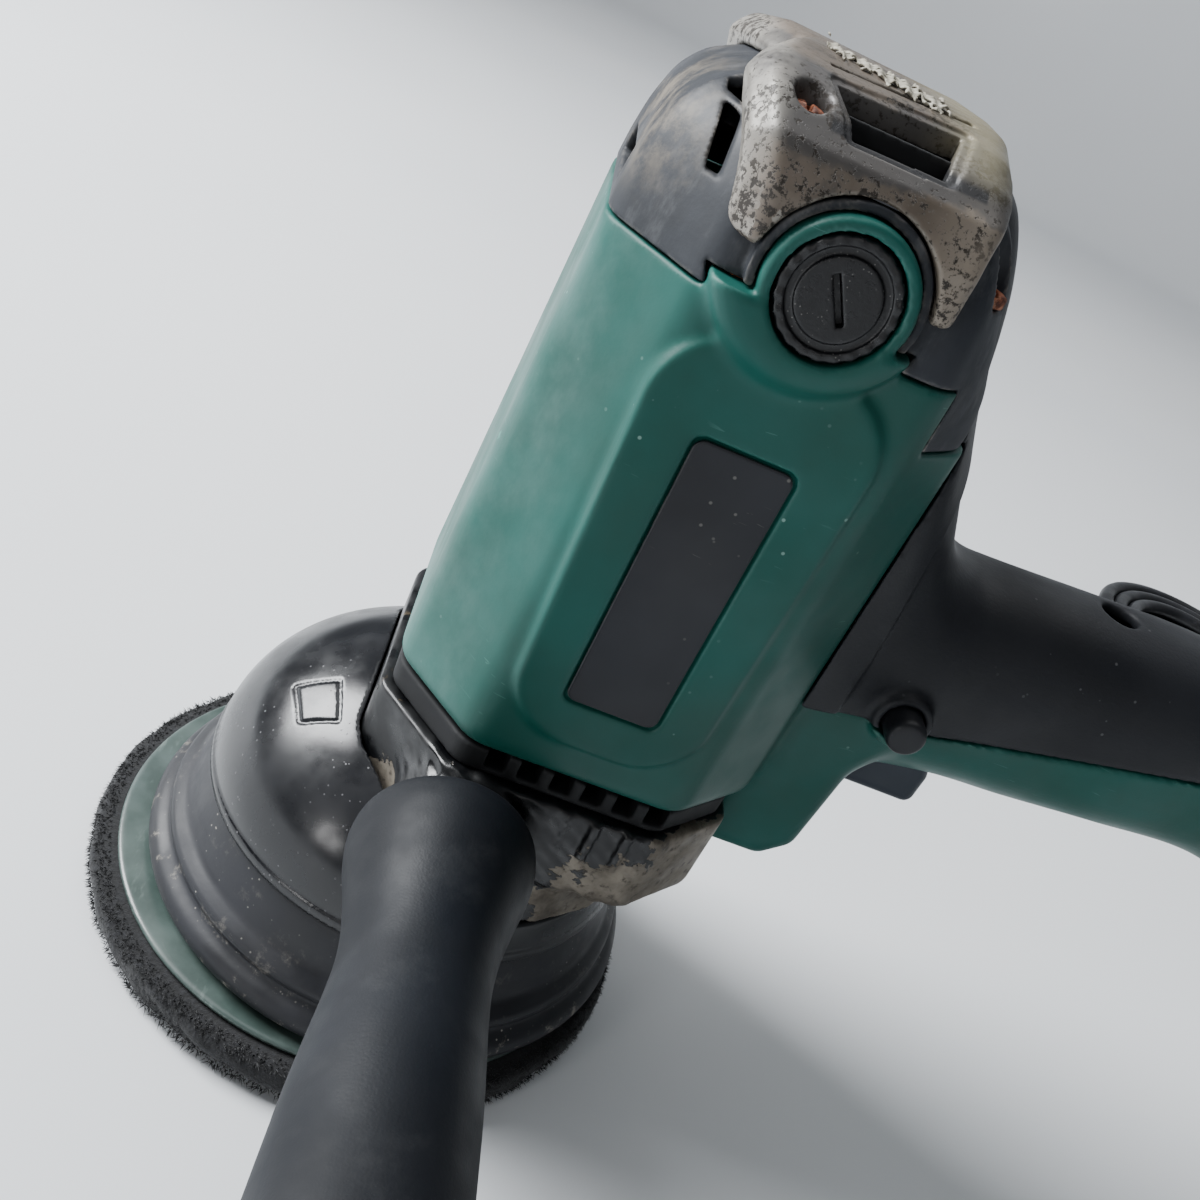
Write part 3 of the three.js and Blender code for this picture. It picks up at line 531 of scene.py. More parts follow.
def beige_bumper():
    """Pale bumper skin, pitted with dark specks and rubbed to silver on its ridges, with painted
    light on its lower right side and painted shade down in its air windows.
    """
    p = Paint("beige_bumper")
    colour = p.mottled("#5A5147", "#6C6258", 0.35, 0.7, 60, 5, 0.65)
    # painted light: the lower right side of the bumper is lightened towards pale beige
    painted_light_right = p.times(p.axis("X", 28, 40), p.times(p.axis("Z", 201, 197), 0.6))
    colour = p.mix(painted_light_right, colour, linear("#A89C8C"))
    high = p.times(p.axis("Z", 194, 200), p.axis("Z", 207, 203))
    grey = p.ramp(p.sum(p.noise(50, 5, 0.65), p.times(high, 0.34)), 0.60, 0.72)
    right = p.times(p.axis("X", 30, 40), p.patches(0.38, 0.55, 60, 5, 0.65))
    colour = p.coat(colour, "#3A3C3F", p.most(grey, p.times(right, 0.4)), 0.7)
    ridge = p.times(p.axis("X", 8, 3.5), p.patches(0.3, 0.5, 90, 4, 0.6))
    silver = p.most(p.times(p.edges(0.52, 0.57), p.patches(0.35, 0.6, 130, 5, 0.7)), ridge)
    colour = p.coat(colour, "#98948C", silver, 0.7)
    pits = p.ramp(p.sum(p.noise(900, 5, 0.75), p.times(p.patches(0.4, 0.7, 90, 3), 0.12)),
                  0.57, 0.63)
    band = p.sum(p.times(p.patches(0.35, 0.55, 38, 3), 0.8), 0.2)
    colour = p.mix(p.times(pits, band), colour, linear("#2C2620"))
    yellow = p.times(p.axis("X", 26, 38), p.times(p.axis("Z", 199, 205), 0.45))
    colour = p.mix(yellow, colour, linear("#9F9776"))
    # painted shade: below the window's top edge the walls of the air window are darkened to near
    # black
    well = p.times(p.axis("X", 12.4, 12.9), p.axis("X", 37.2, 36.7))
    well = p.times(well, p.times(p.axis("Y", -38.2, -37.6), p.axis("Y", 38.2, 37.6)))
    well = p.times(well, p.axis("Z", 201.6, 200.6))
    colour = p.coat(colour, "#16181D", well, 0.85)
    p.bump(p.times(pits, -1.0), 0.1, 0.6)
    p.bump(p.noise(420, 4, 0.6), 0.05, 0.6)
    return p.done(colour, p.patches(0.3, 0.7, 150, 4, out=(0.36, 0.56)), 0.25)


def gloss_black():
    """Glossy black hood with orange peel and faint dust."""
    p = Paint("gloss_black")
    dust = p.times(p.ramp(p.dots(620), 0.16, 0.07), p.patches(0.42, 0.6, 40, 2))
    veil = p.times(p.patches(0.4, 0.75, 34, 4, 0.6), 0.28)
    colour = p.mix(veil, linear("#0E0F12"), linear("#2C2D31"))
    colour = p.coat(colour, "#8D8D90", dust, 0.5)
    gloss = p.sum(p.patches(0.35, 0.7, 70, 4, out=(0.19, 0.36)), p.times(dust, 0.3))
    p.bump(p.noise(260, 2), 0.035, 0.5)
    p.bump(dust, 0.03, 0.5)
    return p.done(colour, gloss)


def rubber(name, base, shade, grain, relief, rough, dusty):
    """Soft black rubber or carbon with a leathery skin and a faint bloom."""
    p = Paint(name)
    colour = p.mottled(base, shade, 0.35, 0.7, 36, 4)
    bloom = p.times(p.patches(0.5, 0.75, 75, 5, 0.7), dusty)
    colour = p.mix(bloom, colour, linear("#8A8A88"))
    leather = p.dots(grain, feature="SMOOTH_F1")
    p.bump(leather, relief, 0.5)
    p.bump(p.noise(grain * 2.2, 2), relief * 0.5, 0.5)
    gloss = p.patches(0.3, 0.7, 55, 3, out=(rough - 0.08, rough + 0.1))
    return p.done(colour, gloss, Specular_IOR_Level=0.24)


def dusty_skirt():
    """Dark rubber with pale polish dust dried in streaks and blots, most on its ridges."""
    p = Paint("dusty_skirt")
    colour = p.mottled("#141519", "#222328", 0.35, 0.7, 40, 4)
    blot = p.patches(0.56, 0.70, 150, 6, 0.75)
    ring = p.times(p.axis("Z", 24, 12), 0.7)
    colour = p.mix(p.times(blot, p.sum(ring, 0.12)), colour, linear("#8F8A80"))
    speck = p.times(p.ramp(p.dots(520), 0.14, 0.06), p.patches(0.45, 0.6, 60, 2))
    colour = p.coat(colour, "#A9A59C", speck, 0.6)
    p.bump(p.noise(700, 3), 0.05, 0.6)
    gloss = p.patches(0.3, 0.7, 80, 4, out=(0.42, 0.62))
    return p.done(colour, gloss, Specular_IOR_Level=0.38)


def plate_resin():
    """Grey-green glass-filled resin, faintly mottled, with streaks that run round the plate."""
    p = Paint("plate_resin")
    colour = p.mottled("#35433F", "#4B5955", 0.35, 0.7, 90, 5)
    fibre = p.ramp(p.noise(240, 4, 0.7, p.stretched((1, 0.3, 1), (0, 0, 0.7))), 0.55, 0.7)
    colour = p.coat(colour, "#75837E", fibre, 0.35)
    stain = p.patches(0.56, 0.72, 45, 4)
    colour = p.coat(colour, "#4C5A59", stain, 0.4)
    p.bump(p.noise(500, 3), 0.03, 0.5)
    return p.done(colour, p.patches(0.3, 0.7, 70, 3, out=(0.3, 0.5)), Coat_Weight=0.2)


def hook_foam():
    """Black hooked fabric on foam, with pale lint caught in it."""
    p = Paint("hook_foam")
    tuft = p.noise(900, 4, 0.7)
    colour = p.mix(p.ramp(tuft, 0.4, 0.7), linear("#07080A"), linear("#191A1E"))
    lint = p.times(p.patches(0.68, 0.74, 1500, 3, 0.7), 0.25)
    colour = p.mix(lint, colour, linear("#77767A"))
    p.bump(tuft, 0.5, 0.9)
    return p.done(colour, 0.95, Sheen_Weight=0.1, Sheen_Roughness=0.6)


def sparkle_black():
    """Bakelite cap: black with dry grit in its texture."""
    p = Paint("sparkle_black")
    grit = p.ramp(p.dots(1300), 0.2, 0.08)
    patch = p.patches(0.42, 0.62, 160, 4)
    colour = p.mix(p.times(grit, p.times(patch, 0.55)), linear("#0C0C0F"), linear("#8C8A86"))
    p.bump(p.noise(1300, 3, 0.7), 0.07, 0.8)
    return p.done(colour, p.patches(0.35, 0.65, 300, 3, out=(0.25, 0.5)))


def cord_skin():
    """Satin rubber of the lead, the strain relief and the plug, scuffed here and there."""
    p = Paint("cord_skin")
    colour = p.mottled("#0F1013", "#1F2024", 0.4, 0.7, 50, 4)
    colour = p.coat(colour, "#4A4B4F", p.patches(0.6, 0.75, 300, 4, 0.7), 0.3)
    p.bump(p.noise(900, 2), 0.03, 0.5)
    return p.done(colour, p.patches(0.3, 0.7, 90, 3, out=(0.32, 0.5)))


def tape_paper():
    """Dried tape backing, fibrous and torn."""
    p = Paint("tape_residue")
    fibre = p.noise(900, 5, 0.75, p.stretched((0.4, 1, 1), (0, 0, 0.3)))
    colour = p.mix(p.ramp(fibre, 0.35, 0.7), linear("#8F8A7C"), linear("#B3AFA2"))
    colour = p.coat(colour, "#A59D8B", p.patches(0.55, 0.7, 220, 5), 0.5)
    p.bump(fibre, 0.15, 0.8)
    return p.done(colour, 0.8)


GREEN = moulded("green_shell", "#01433A", "#045048", "#6FA79B", rough=0.47, relief=0.03,
                edge=0.45, specks=0.5, dust="#9CC3B8", frost=green_frost)
DARK = moulded("dark_shell", "#121419", "#1A1C21", "#53565B", rough=0.5, grain=1300, relief=0.07,
               edge=0.3, specks=0.35, dust="#77787A")
SATIN_DARK = moulded("satin_dark", "#17181C", "#222327", "#55575C", rough=0.4, relief=0.02,
                     edge=0.4, specks=0.2)
INNER = moulded("inner_black", "#0D0E10", "#17181A", "#3A3B3E", rough=0.7, specks=0.1)
COVER = worn_cover()
BUMPER = beige_bumper()
CHIPPED = chipped_black()
HOOD = gloss_black()
SKIRT = dusty_skirt()
GRIP = rubber("grip_rubber", "#080B11", "#0C1017", 2400, 0.035, rough=0.56, dusty=0.03)
PLATE = plate_resin()
FOAM = hook_foam()
CAP = sparkle_black()
RUST = rust()
CORD = cord_skin()
STEEL = metal("steel", "#9DA0A3", "#6D7073")
COPPER = metal("copper", "#B4683F", "#8A4B2B", 0.4)
BRASS = metal("brass", "#B9974F", "#8F7238", 0.3)
CARBON = rubber("carbon", "#1D1D20", "#2A2A2E", 900, 0.03, rough=0.5, dusty=0.1)
TAPE = tape_paper()

# ---- the green shell and its dark cover ----
OUTLINE = [(-14, -22), (3, -40), (44, -40), (60, -25), (60, 25), (44, 40), (3, 40), (-14, 22)]
FACE_Y = 40
WALL = 2.6
HOUSING_LOW, HOUSING_TOP, HOUSING_REAR = 81.5, 174, 163
LABEL = (23.5, 126.8, 8.5, 26.7)  # the middle in x and z, and half of each size
CHIN = [(56, 62), (73, 62), (79, 68), (80.5, 90), (84, 105), (56, 105)]
STATIONS = {
    "x": (62, 80, 95, 115, 135, 158, 176, 198, 208, 212),
    "low": (76, 87, 90.5, 92, 94, 96, 93, 90, 91.5, 95),
    "top": (134, 136, 136.8, 138, 138.8, 137.6, 136, 135, 132.5, 129),
    "half": (20, 19.5, 18.5, 18, 18, 18.5, 20, 21.5, 20.5, 18),
}
SADDLE = {
    "z": (92, 125, 139, 154, 171, 180, 188, 196, 203),
    "front": (60, 60, 60, 60, 54, 50, 47, 43, 38),
    "back": (82, 82, 76, 69.5, 61.8, 58.8, 56, 52, 47),
    "wide": (24, 26, 26, 25, 24, 22, 21, 19, 17),
    "narrow": (12, 13.4, 13.2, 13, 14, 15, 15, 14, 12),
}
SPLIT = [(30, 105.6), (89, 105.9), (143, 118), (230, 136.8)]
HANDLE_SCREWS = ((117.3, 141), (194, 135.2))
LOCK_X, LOCK_Z = 80, 109


def curve(v, xs, ys):
    """A smooth line through the given points."""
    xs, ys = np.array(xs, float), np.array(ys, float)
    slopes = np.gradient(ys, xs)
    fine, heights = [], []
    for i in range(len(xs) - 1):
        span = xs[i + 1] - xs[i]
        for t in np.linspace(0, 1, 16, endpoint=False):
            fine.append(xs[i] + span * t)
            heights.append(
                (2 * t**3 - 3 * t**2 + 1) * ys[i] + (t**3 - 2 * t**2 + t) * span * slopes[i]
                + (3 * t**2 - 2 * t**3) * ys[i + 1] + (t**3 - t**2) * span * slopes[i + 1]
            )
    return np.interp(v, fine + [xs[-1]], heights + [ys[-1]]).astype(np.float32)


def shell_outline(x, y, z, left=None):
    """The can's outline in plan; its left side leans in as it rises unless left is given."""
    if left is None:
        left = -14 + 4 * (z - HOUSING_LOW) / (HOUSING_TOP - HOUSING_LOW)
    return polygon(60 - (60 - x) * 74 / (60 - left), y, OUTLINE, 9)


def handle_tube(x, y, z, shrink=0.0):
    """The rear handle: a rounded oval section swept along x, drawn in by shrink."""
    low, top = curve(x, STATIONS["x"], STATIONS["low"]), curve(x, STATIONS["x"], STATIONS["top"])
    half = curve(x, STATIONS["x"], STATIONS["half"]) - shrink
    high = (top - low) / 2 - shrink
    u, v = np.abs(y) / half, np.abs(z - (low + top) / 2) / high
    q = (u**2.5 + v**2.5 + 1e-4) ** 0.4
    slope = np.sqrt((u**1.5 / half) ** 2 + (v**1.5 / high) ** 2) * q**-1.5 + 1e-3
    tube = (q - 1) / slope
    tube = both(tube, x - (HANDLE_END - shrink), 9)
    return both(tube, 40 - x)


def saddle(x, y, z, shrink=0.0):
    """The wedge behind the can, wide at the can and narrow at its back."""
    back = curve(z, SADDLE["z"], SADDLE["back"]) - shrink
    wide = curve(z, SADDLE["z"], SADDLE["wide"]) - shrink
    narrow = curve(z, SADDLE["z"], SADDLE["narrow"]) - shrink
    front = curve(z, SADDLE["z"], SADDLE["front"])
    run, fall = back - front, wide - narrow
    side = ((np.abs(y) - wide) * run + (x - front) * fall) / np.sqrt(run**2 + fall**2)
    body = both(both(x - back, side, 7), np.abs(y) - wide, 4)
    return both(body, z - (201 - shrink), 5)


def split_height(x):
    """Where the green and the dark halves of the handle meet."""
    return np.interp(x, [p[0] for p in SPLIT], [p[1] for p in SPLIT]).astype(np.float32)


def lobe(x, y, z, grow=0.0):
    """The round swelling of the shell at each brush cap."""
    body = both(circle(x, z, 22, 183, 17.4 + grow), np.abs(y) - 44.6 - grow, 4.5)
    return both(body, 30 - np.abs(y))


def cap_ring(x, y, z, radius, near, far):
    """A disc about the brush axis, on both sides of the tool."""
    return both(circle(x, z, MOTOR_X, BRUSH_Z, radius), slab(np.abs(y), near, far))


def screw_wells(x, y, z):
    return union(both(circle(x, y, sx, 0, 3.9), (top - 9.4) - z) for sx, top in HANDLE_SCREWS)


def label_outline(x, z, inward, radius):
    """The name plate's rectangle, drawn in by inward and then grown round by radius."""
    lx, lz, lw, lh = LABEL
    a = slab(x, lx - lw + inward, lx + lw - inward)
    b = slab(z, lz - lh + inward, lz + lh - inward)
    outside = np.sqrt(np.maximum(a, 0) ** 2 + np.maximum(b, 0) ** 2)
    return outside + np.minimum(both(a, b), 0) - radius


def lock_boss(x, y, z):
    """The low collar the lock button stands in, on the front side only."""
    return both(circle(x, z, LOCK_X, LOCK_Z, 5.9), slab(y, -23.2, -12), 1.2)


def lock_hole(x, y, z):
    return both(circle(x, z, LOCK_X, LOCK_Z, 4.3), y + 10)


def cord_exit(x, y, z):
    return both(circle(y, z, 0, CORD_Z, 6.8), 198 - x)


def housing_field(x, y, z):
    """The green shell: an eight-sided can with raised panels, brush lobes and the lower handle."""
    walls = both(shell_outline(x, y, z), HOUSING_LOW - z, 4.5)
    walls = both(walls, z - np.where(x > 48.7, HOUSING_REAR, HOUSING_TOP), 0.7)
    panel = [(6, 90.5), (41, 90.5), (43, 170), (4, 170)]
    raised = both(polygon(x, z, panel, 13), np.abs(y) - 41.2, 1.4)
    body = join(walls, raised, 1.6)
    body = join(body, both(lobe(x, y, z), z - 177, 0.8), 2.2)
    body = join(body, both(circle(x, z, MOTOR_X, BRUSH_Z, 11.6), np.abs(y) - 44.2, 1.2))
    body = both(body, np.where(z > 177, 33 - np.abs(y), -9))
    # the lower half of the handle, the chin that holds the trigger, and the lock's collar
    lower = both(handle_tube(x, y, z), z - split_height(x) + 0.15)
    chin = both(polygon(x, z, CHIN, 5), np.abs(y) - 19, 6)
    body = join(body, join(lower, chin, 5), 5)
    body = join(body, both(lock_boss(x, y, z), z - split_height(x) + 0.15), 2)
    # hollow inside, then the holes: brush caps, name plate, trigger, lock, screws, lead
    inner = both(shell_outline(x, y, z) + WALL, z - 230)
    inner = join(inner, handle_tube(x, y, z, WALL))
    body = cut(body, inner)
    body = cut(body, cap_ring(x, y, z, 9.6, 30, 60))
    body = cut(body, both(label_outline(x, z, 1.6, 2.1), 40.1 - np.abs(y)), 0.5)
    slot = both(both(slab(x, 79.5, 101), np.abs(y) - 9.6), slab(z, 78, 104))
    body = cut(body, slot, 0.8)
    body = cut(body, lock_hole(x, y, z), 0.6)
    body = cut(body, screw_wells(x, y, z))
    return cut(body, cord_exit(x, y, z))


def cover_field(x, y, z):
    """The dark half of the handle, and the saddle that runs from it up the back of the can."""
    tube, flange = handle_tube(x, y, z), saddle(x, y, z)
    body = join(tube, flange, 9)
    against = np.where(z > HOUSING_REAR, cover_body(x, y, z), shell_outline(x, y, z, -10.0))
    band = both(body - 0.8, shell_outline(x, y, z, -10.0) - 7.5)
    body = join(body, band, 0.9)
    body = join(body, lock_boss(x, y, z), 2)
    inner = join(handle_tube(x, y, z, WALL), saddle(x, y, z, WALL), 8)
    body = cut(body, inner)
    body = both(body, split_height(x) + 0.15 - z, 0.8)
    body = cut(body, against - 0.3, 0.6)
    body = both(body, 44 - x)
    body = cut(body, lock_hole(x, y, z), 0.6)
    body = cut(body, screw_wells(x, y, z), 1.0)
    return cut(body, cord_exit(x, y, z))


# ---- the end cover and its bumper ----
COVER_INSET = (
    (160, 0), (174, 0.1), (181, 0.8), (188, 2.3), (194, 5.0), (198, 9.0), (200.5, 13), (203, 19),
)
REAR_LEAN = ((160, 0), (168, 0.3), (172, 1.8), (178, 5), (185, 8), (195, 12), (203, 17))
END_SCREWS = ((9.4, 33.4, 198.6), (46.4, 31.5, 186.6))


def cover_body(x, y, z, grow=0.0):
    """The end cover's outside, which closes in towards its top and leans in at its rear."""
    step_in = curve(z, [p[0] for p in COVER_INSET], [p[1] for p in COVER_INSET])
    lean = curve(z, [p[0] for p in REAR_LEAN], [p[1] for p in REAR_LEAN])
    body = both(shell_outline(x, y, z, -10.0) + step_in, z - 202.5, 7)
    return both(body, x - 60 + lean, 6) - grow


def end_screw_posts(x, y, z, radius, below, above):
    return union(
        both(circle(x, np.abs(y), sx, sy, radius), slab(z, sz - below, sz + above))
        for sx, sy, sz in END_SCREWS
    )


def end_screw_wells(x, y, z):
    return union(
        both(circle(x, np.abs(y), sx, sy, 3.7), sz - z) for sx, sy, sz in END_SCREWS
    )


def end_cover_field(x, y, z):
    """The worn cover: a hollow cap with screw posts, a bearing seat, vents and windows."""
    body = cover_body(x, y, z)
    body = cut(body, cover_body(x, y, z) + WALL)
    posts = end_screw_posts(x, y, z, 5, 13, 1)
    body = join(body, both(posts, cover_body(x, y, z)))
    body = both(body, np.where(x > 48.7, HOUSING_REAR + 0.3, HOUSING_TOP + 0.3) - z, 0.6)
    # a rim round each brush cap, cleared for the cap and for the green lobe
    rim = both(cap_ring(x, y, z, 13.4, 36, 42.1), 176 - z)
    body = join(body, both(rim, np.abs(y) - 42.1, 0.8))
    body = cut(body, cap_ring(x, y, z, 11.9, 30, 60))
    body = cut(body, both(lobe(x, y, z, 0.35), z - 177.3), 0.5)
    seat = both(slab(circle(x, y, MOTOR_X, 0, 0), 9.8, 12.4),
                      slab(z, 194, 201))
    body = join(body, seat)
    # a low vent in the left side
    vent = both(both(slab(z, 177.6, 182.2), np.abs(y) - 11), x - 2)
    body = cut(body, vent, 0.5)
    # a tall vent beside the bumper at either corner, with a bar across it near its top
    vent_left = 0.3 - 0.9 * (z - 188) / 12
    tall = both(both(vent_left - x, x - 2.5), slab(z, 187.2, 199.6))
    tall = both(tall, 18 - np.abs(y))
    body = cut(body, both(tall, -slab(z + 0.2 * x, 195.6, 196.7)), 0.5)
    opening = both(both(slab(x, 12, 34.5), slab(np.abs(y), 22, 40)), 194 - z)
    body = cut(body, opening)
    return cut(body, end_screw_wells(x, y, z))


BUMPER_DOME = [
    (-43, 180), (43, 180), (43, 191), (40.5, 197.5), (35, 202.1), (27, 205), (13, 206.9),
    (-13, 206.9), (-27, 205), (-35, 202.1), (-40.5, 197.5), (-43, 191),
]
WINDOW = [(16.4, 36.6), (30.6, 36.2), (33.4, 23.4), (13.0, 27.0)]
SLIT = [(11.8, 21.4), (11.8, 20.1), (36.2, 15.4), (36.2, 17.0)]


def bumper_field(x, y, z):
    """The strap over the end cover, with an air window, a slit and two screw holes a side."""
    far = np.abs(y)
    outer = polygon(y, z, BUMPER_DOME, 2.5)
    low = curve(z, (182, 192, 199, 203, 207), (5.2, 3.4, 0.8, -0.9, -0.4))
    low = low + 6.5 * np.clip(1 - far / 25, 0, 1)
    high = curve(z, (182, 197, 202, 207), (40.2, 40.6, 41.4, 42.2)) + (43 - far) * 0.12
    body = both(outer, low - x, 1.0)
    body = both(body, (outer + low - x + 4.4) * 0.7071, 1.0)
    body = both(body, x - high, 2.4 + 5 * np.clip((z - 198) / 5, 0, 1))
    body = cut(body, cover_body(x, y, z, 0.35), 0.5)
    body = both(body, 182.8 - z, 1.6)
    body = cut(body, both(circle(x, z, MOTOR_X, BRUSH_Z, 13.75), 30 - far), 0.7)
    # the dished frame of the air window, the slit beside it, and the window itself
    frame_edge = polygon(x, far, WINDOW[::-1], 0) - 1.5
    dish = both(frame_edge, -(outer + 0.7))
    body = cut(body, dish, 0.6)
    slit = both(polygon(x, far, SLIT, 0), -(outer + 1.6))
    body = cut(body, slit, 0.3)
    window = polygon(x, far, WINDOW[::-1], 0)
    body = cut(body, window, 0.5)
    dimple = circle(x, far, 9.4, 33.4, 2.9)
    body = cut(body, both(dimple, 198 - z), 0.9)
    rear_screw = circle(x, far, 47, 31.5, 3.7)
    return cut(body, rear_screw)


carve("shell_green", housing_field, (-15, -45, 60), (213, 45, 200), 0.62, "body",
      GREEN, ["motor_housing"])
carve("cover_dark", cover_field, (43, -28, 92), (213, 28, 203), 0.62, "body",
      DARK, ["handle_cover"])
carve("cover_end", end_cover_field, (-11, -43, 162), (61, 43, 204), 0.5, "body",
      COVER, ["end_cover"])
carve("bumper", bumper_field, (-1, -44, 182), (47, 44, 208), 0.4, "body",
      BUMPER, ["top_bumper"])


def louvre_field(x, y, z):
    """A rail and a floor across each of the two air windows, sunk behind the bumper."""
    far = np.abs(y)
    rail = both(slab(far + 0.16 * (x - 20), 29.4, 30.8), slab(z, 198.6, 201.6))
    floor = both(slab(far, 22, 38), slab(z - (far - 30) * 0.3, 190.6, 191.8))
    body = join(rail, floor)
    return both(body, slab(x, 12.2, 34.2))


carve("window_louvres", louvre_field, (12, -38, 187), (35, 38, 202), 0.4, "body",
      INNER)


def tape_field(x, y, z):
    """Shreds of old tape stuck along the crown of the bumper."""
    ragged = np.sin(x * 1.7) * 1.2 + np.sin(x * 4.3 + 1) * 0.7
    strip = both(slab(x + np.sin(y * 2.1) * 0.8, 12.5, 31), slab(y + 0.35 * x - ragged, -9, -2))
    crown = polygon(y, z, BUMPER_DOME, 2.5)
    curl = 1.3 * np.clip((15 - x) / 3, 0, 1) * np.clip((y + 0.35 * x + 4) / 3, 0, 1)
    lift = 0.3 + 0.2 * np.sin(x * 2.9) + 0.15 * np.sin(y * 3) + curl
    torn = np.sin(x * 3.1 + y * 1.3) + np.sin(x * 1.3 - y * 2.3 + 2) - 0.9
    return both(both(strip, torn * 0.5), np.abs(crown - lift) - 0.2)


carve("tape_residue", tape_field, (11, -22, 203), (33, 2, 209.5), 0.22, "body",
      TAPE)

# ---- gear case, vented plate, hood and skirt ----
CASE = [(-15, -22), (2, -40), (44, -40), (59, -26), (59, 26), (44, 40), (2, 40), (-15, 22)]
NOSE = [(-14, -24), (0, -39), (30, -39), (44, -28), (44, 28), (30, 39), (0, 39), (-14, 24)]
CASE_LOW, CASE_TOP = 55, 75.5


def case_field(x, y, z):
    """The gear case: cast walls, a nose, a skirt ring, two handle bosses, ribs and bores."""
    outline = polygon(x, y, CASE, 7)
    body = both(outline, CASE_LOW - z, 3.5)
    body = both(body, z - CASE_TOP, 1.2)
    nose = both(polygon(x, y, NOSE, 7), slab(z, 44, 57))
    body = join(body, nose, 2)
    body = join(body, both(circle(x, y, SPINDLE_X, 0, 41), slab(z, 44, 49)))
    skirt_ring = slab(circle(x, y, SPINDLE_X, 0, 0), 37.6, 40.6)
    body = join(body, both(skirt_ring, slab(z, 21.5, 45)))
    boss = both(circle(x, z, GRIP_X, GRIP_Z, 11.2), slab(np.abs(y), 24, 42.1))
    body = join(body, both(boss, np.abs(y) - 42.1, 1.2), 3)
    ribs = both(np.abs(((x + 3.2) % 6.4) - 3.2) - 0.75, slab(np.abs(y), 38, 41))
    body = join(body, both(both(ribs, slab(z, 66, 75)), slab(x, 27, 43)), 1.2)
    uneven = 0.16 * np.sin(x * 0.9 + z * 0.7) * np.sin(y * 0.8 + 1)
    uneven = uneven + 0.1 * np.sin(z * 1.9 + x * 1.3)
    body = body + uneven * np.clip((np.abs(y) - 30) / 8, 0, 1)
    # the gear chamber, the spindle's bores and the handle's threaded bores
    chamber = both(polygon(x, y, inset(CASE, 3.6), 5), slab(z, 58, 90))
    body = cut(body, chamber)
    centre_bore = circle(x, y, SPINDLE_X, 0, 0)
    body = cut(body, both(centre_bore - 12.3, slab(z, 46, 60)))
    body = cut(body, both(centre_bore - 9, slab(z, 40, 50)))
    bore = both(circle(x, z, GRIP_X, GRIP_Z, 5.3), slab(np.abs(y), 20, 60))
    return cut(body, bore)


carve("case_gear", case_field, (-16, -43, 21), (60, 43, 76), 0.5, "body",
      CHIPPED, ["gear_case"])


def vented_field(x, y, z):
    """The bearing plate between the case and the can, with air slots at front and back."""
    body = both(polygon(x, y, inset(CASE, 2), 6), slab(z, 75.8, 81.2))
    seat = circle(x, y, MOTOR_X, 0, 0)
    body = join(body, both(seat - 13, slab(z, 77, 85)))
    hub = circle(x, y, SPINDLE_X, 0, 0)
    body = join(body, both(hub - 11.6, slab(z, 70.2, 77)))
    # air slots between narrow bars, then the bores for the spindle and motor bearings
    slots = both(np.abs(((x - 6.8) % 6.4) - 3.2) - 2.0, slab(np.abs(y), 31, 60))
    slots = both(both(slots, 77.2 - z), slab(x, 8, 44.5))
    body = cut(body, slots, 0.5)
    body = cut(body, both(hub - 8.8, z - 75.6))
    body = cut(body, both(seat - 10.3, 76.9 - z))
    return cut(body, seat - 6.2)


carve("plate_vented", vented_field, (-14, -39, 70), (58, 39, 85), 0.5, "body",
      INNER, ["bearing_plate"])


def hood_field(x, y, z):
    """A thin dome over the spindle, cut away round the gear case and its handle boss."""
    radius = circle(x, y, SPINDLE_X, 0, 0)

    def dome(reach, height):
        q = np.sqrt((radius / reach) ** 2 + (np.maximum(z - 36, 0) / height) ** 2)
        return (q - 1) * min(reach, height)

    body = both(dome(47.4, 34.6), 34 - z, 1.0)
    lip = both(slab(radius, 44, 47.9), slab(z, 34, 36.2))
    body = join(body, lip, 0.8)
    body = cut(body, dome(45.0, 32.6))
    # a small plain square outline sunk into the hood's left shoulder
    turn = math.radians(28.5)
    out = -(x - SPINDLE_X) * math.cos(turn) - y * math.sin(turn)
    across = (x - SPINDLE_X) * math.sin(turn) - y * math.cos(turn)
    square = polygon(out, across, [(35.6, -6.6), (36.9, 3.3), (30.8, 7.2), (28.5, -3.1)], 0)
    groove = both(np.abs(square) - 0.3, np.abs(dome(47.4, 34.6)) - 0.3)
    body = cut(body, groove, 0.3)
    clear = both(polygon(x, y, CASE, 7) - 0.4, 54.6 - z)
    clear = join(clear, both(polygon(x, y, NOSE, 7) - 0.4, 43.6 - z))
    clear = join(clear, both(-x, 43.6 - z))
    boss = circle(x, z, GRIP_X, GRIP_Z, 11.8)
    clear = join(clear, both(boss, 20 - np.abs(y)))
    return cut(body, clear, 0.6)


carve("hood", hood_field, (-45, -49, 33), (54, 49, 72), 0.45, "body", HOOD,
      ["spindle_hood"])

SKIRT_SHAPE = [
    (52.4, 11.2), (54.6, 11.1), (55.9, 12.2), (56.1, 14.2), (55.3, 16.0), (53.0, 17.4),
    (52.5, 18.4), (53.0, 19.6), (52.9, 21.0), (51.6, 22.2), (49.9, 23.6), (49.2, 25.4),
    (48.6, 28.0), (47.4, 31.4), (46.6, 33.6), (43.4, 33.6), (44.0, 30.0), (47.0, 22.0),
    (50.0, 17.5), (51.8, 14.0), (52.2, 11.5),
]


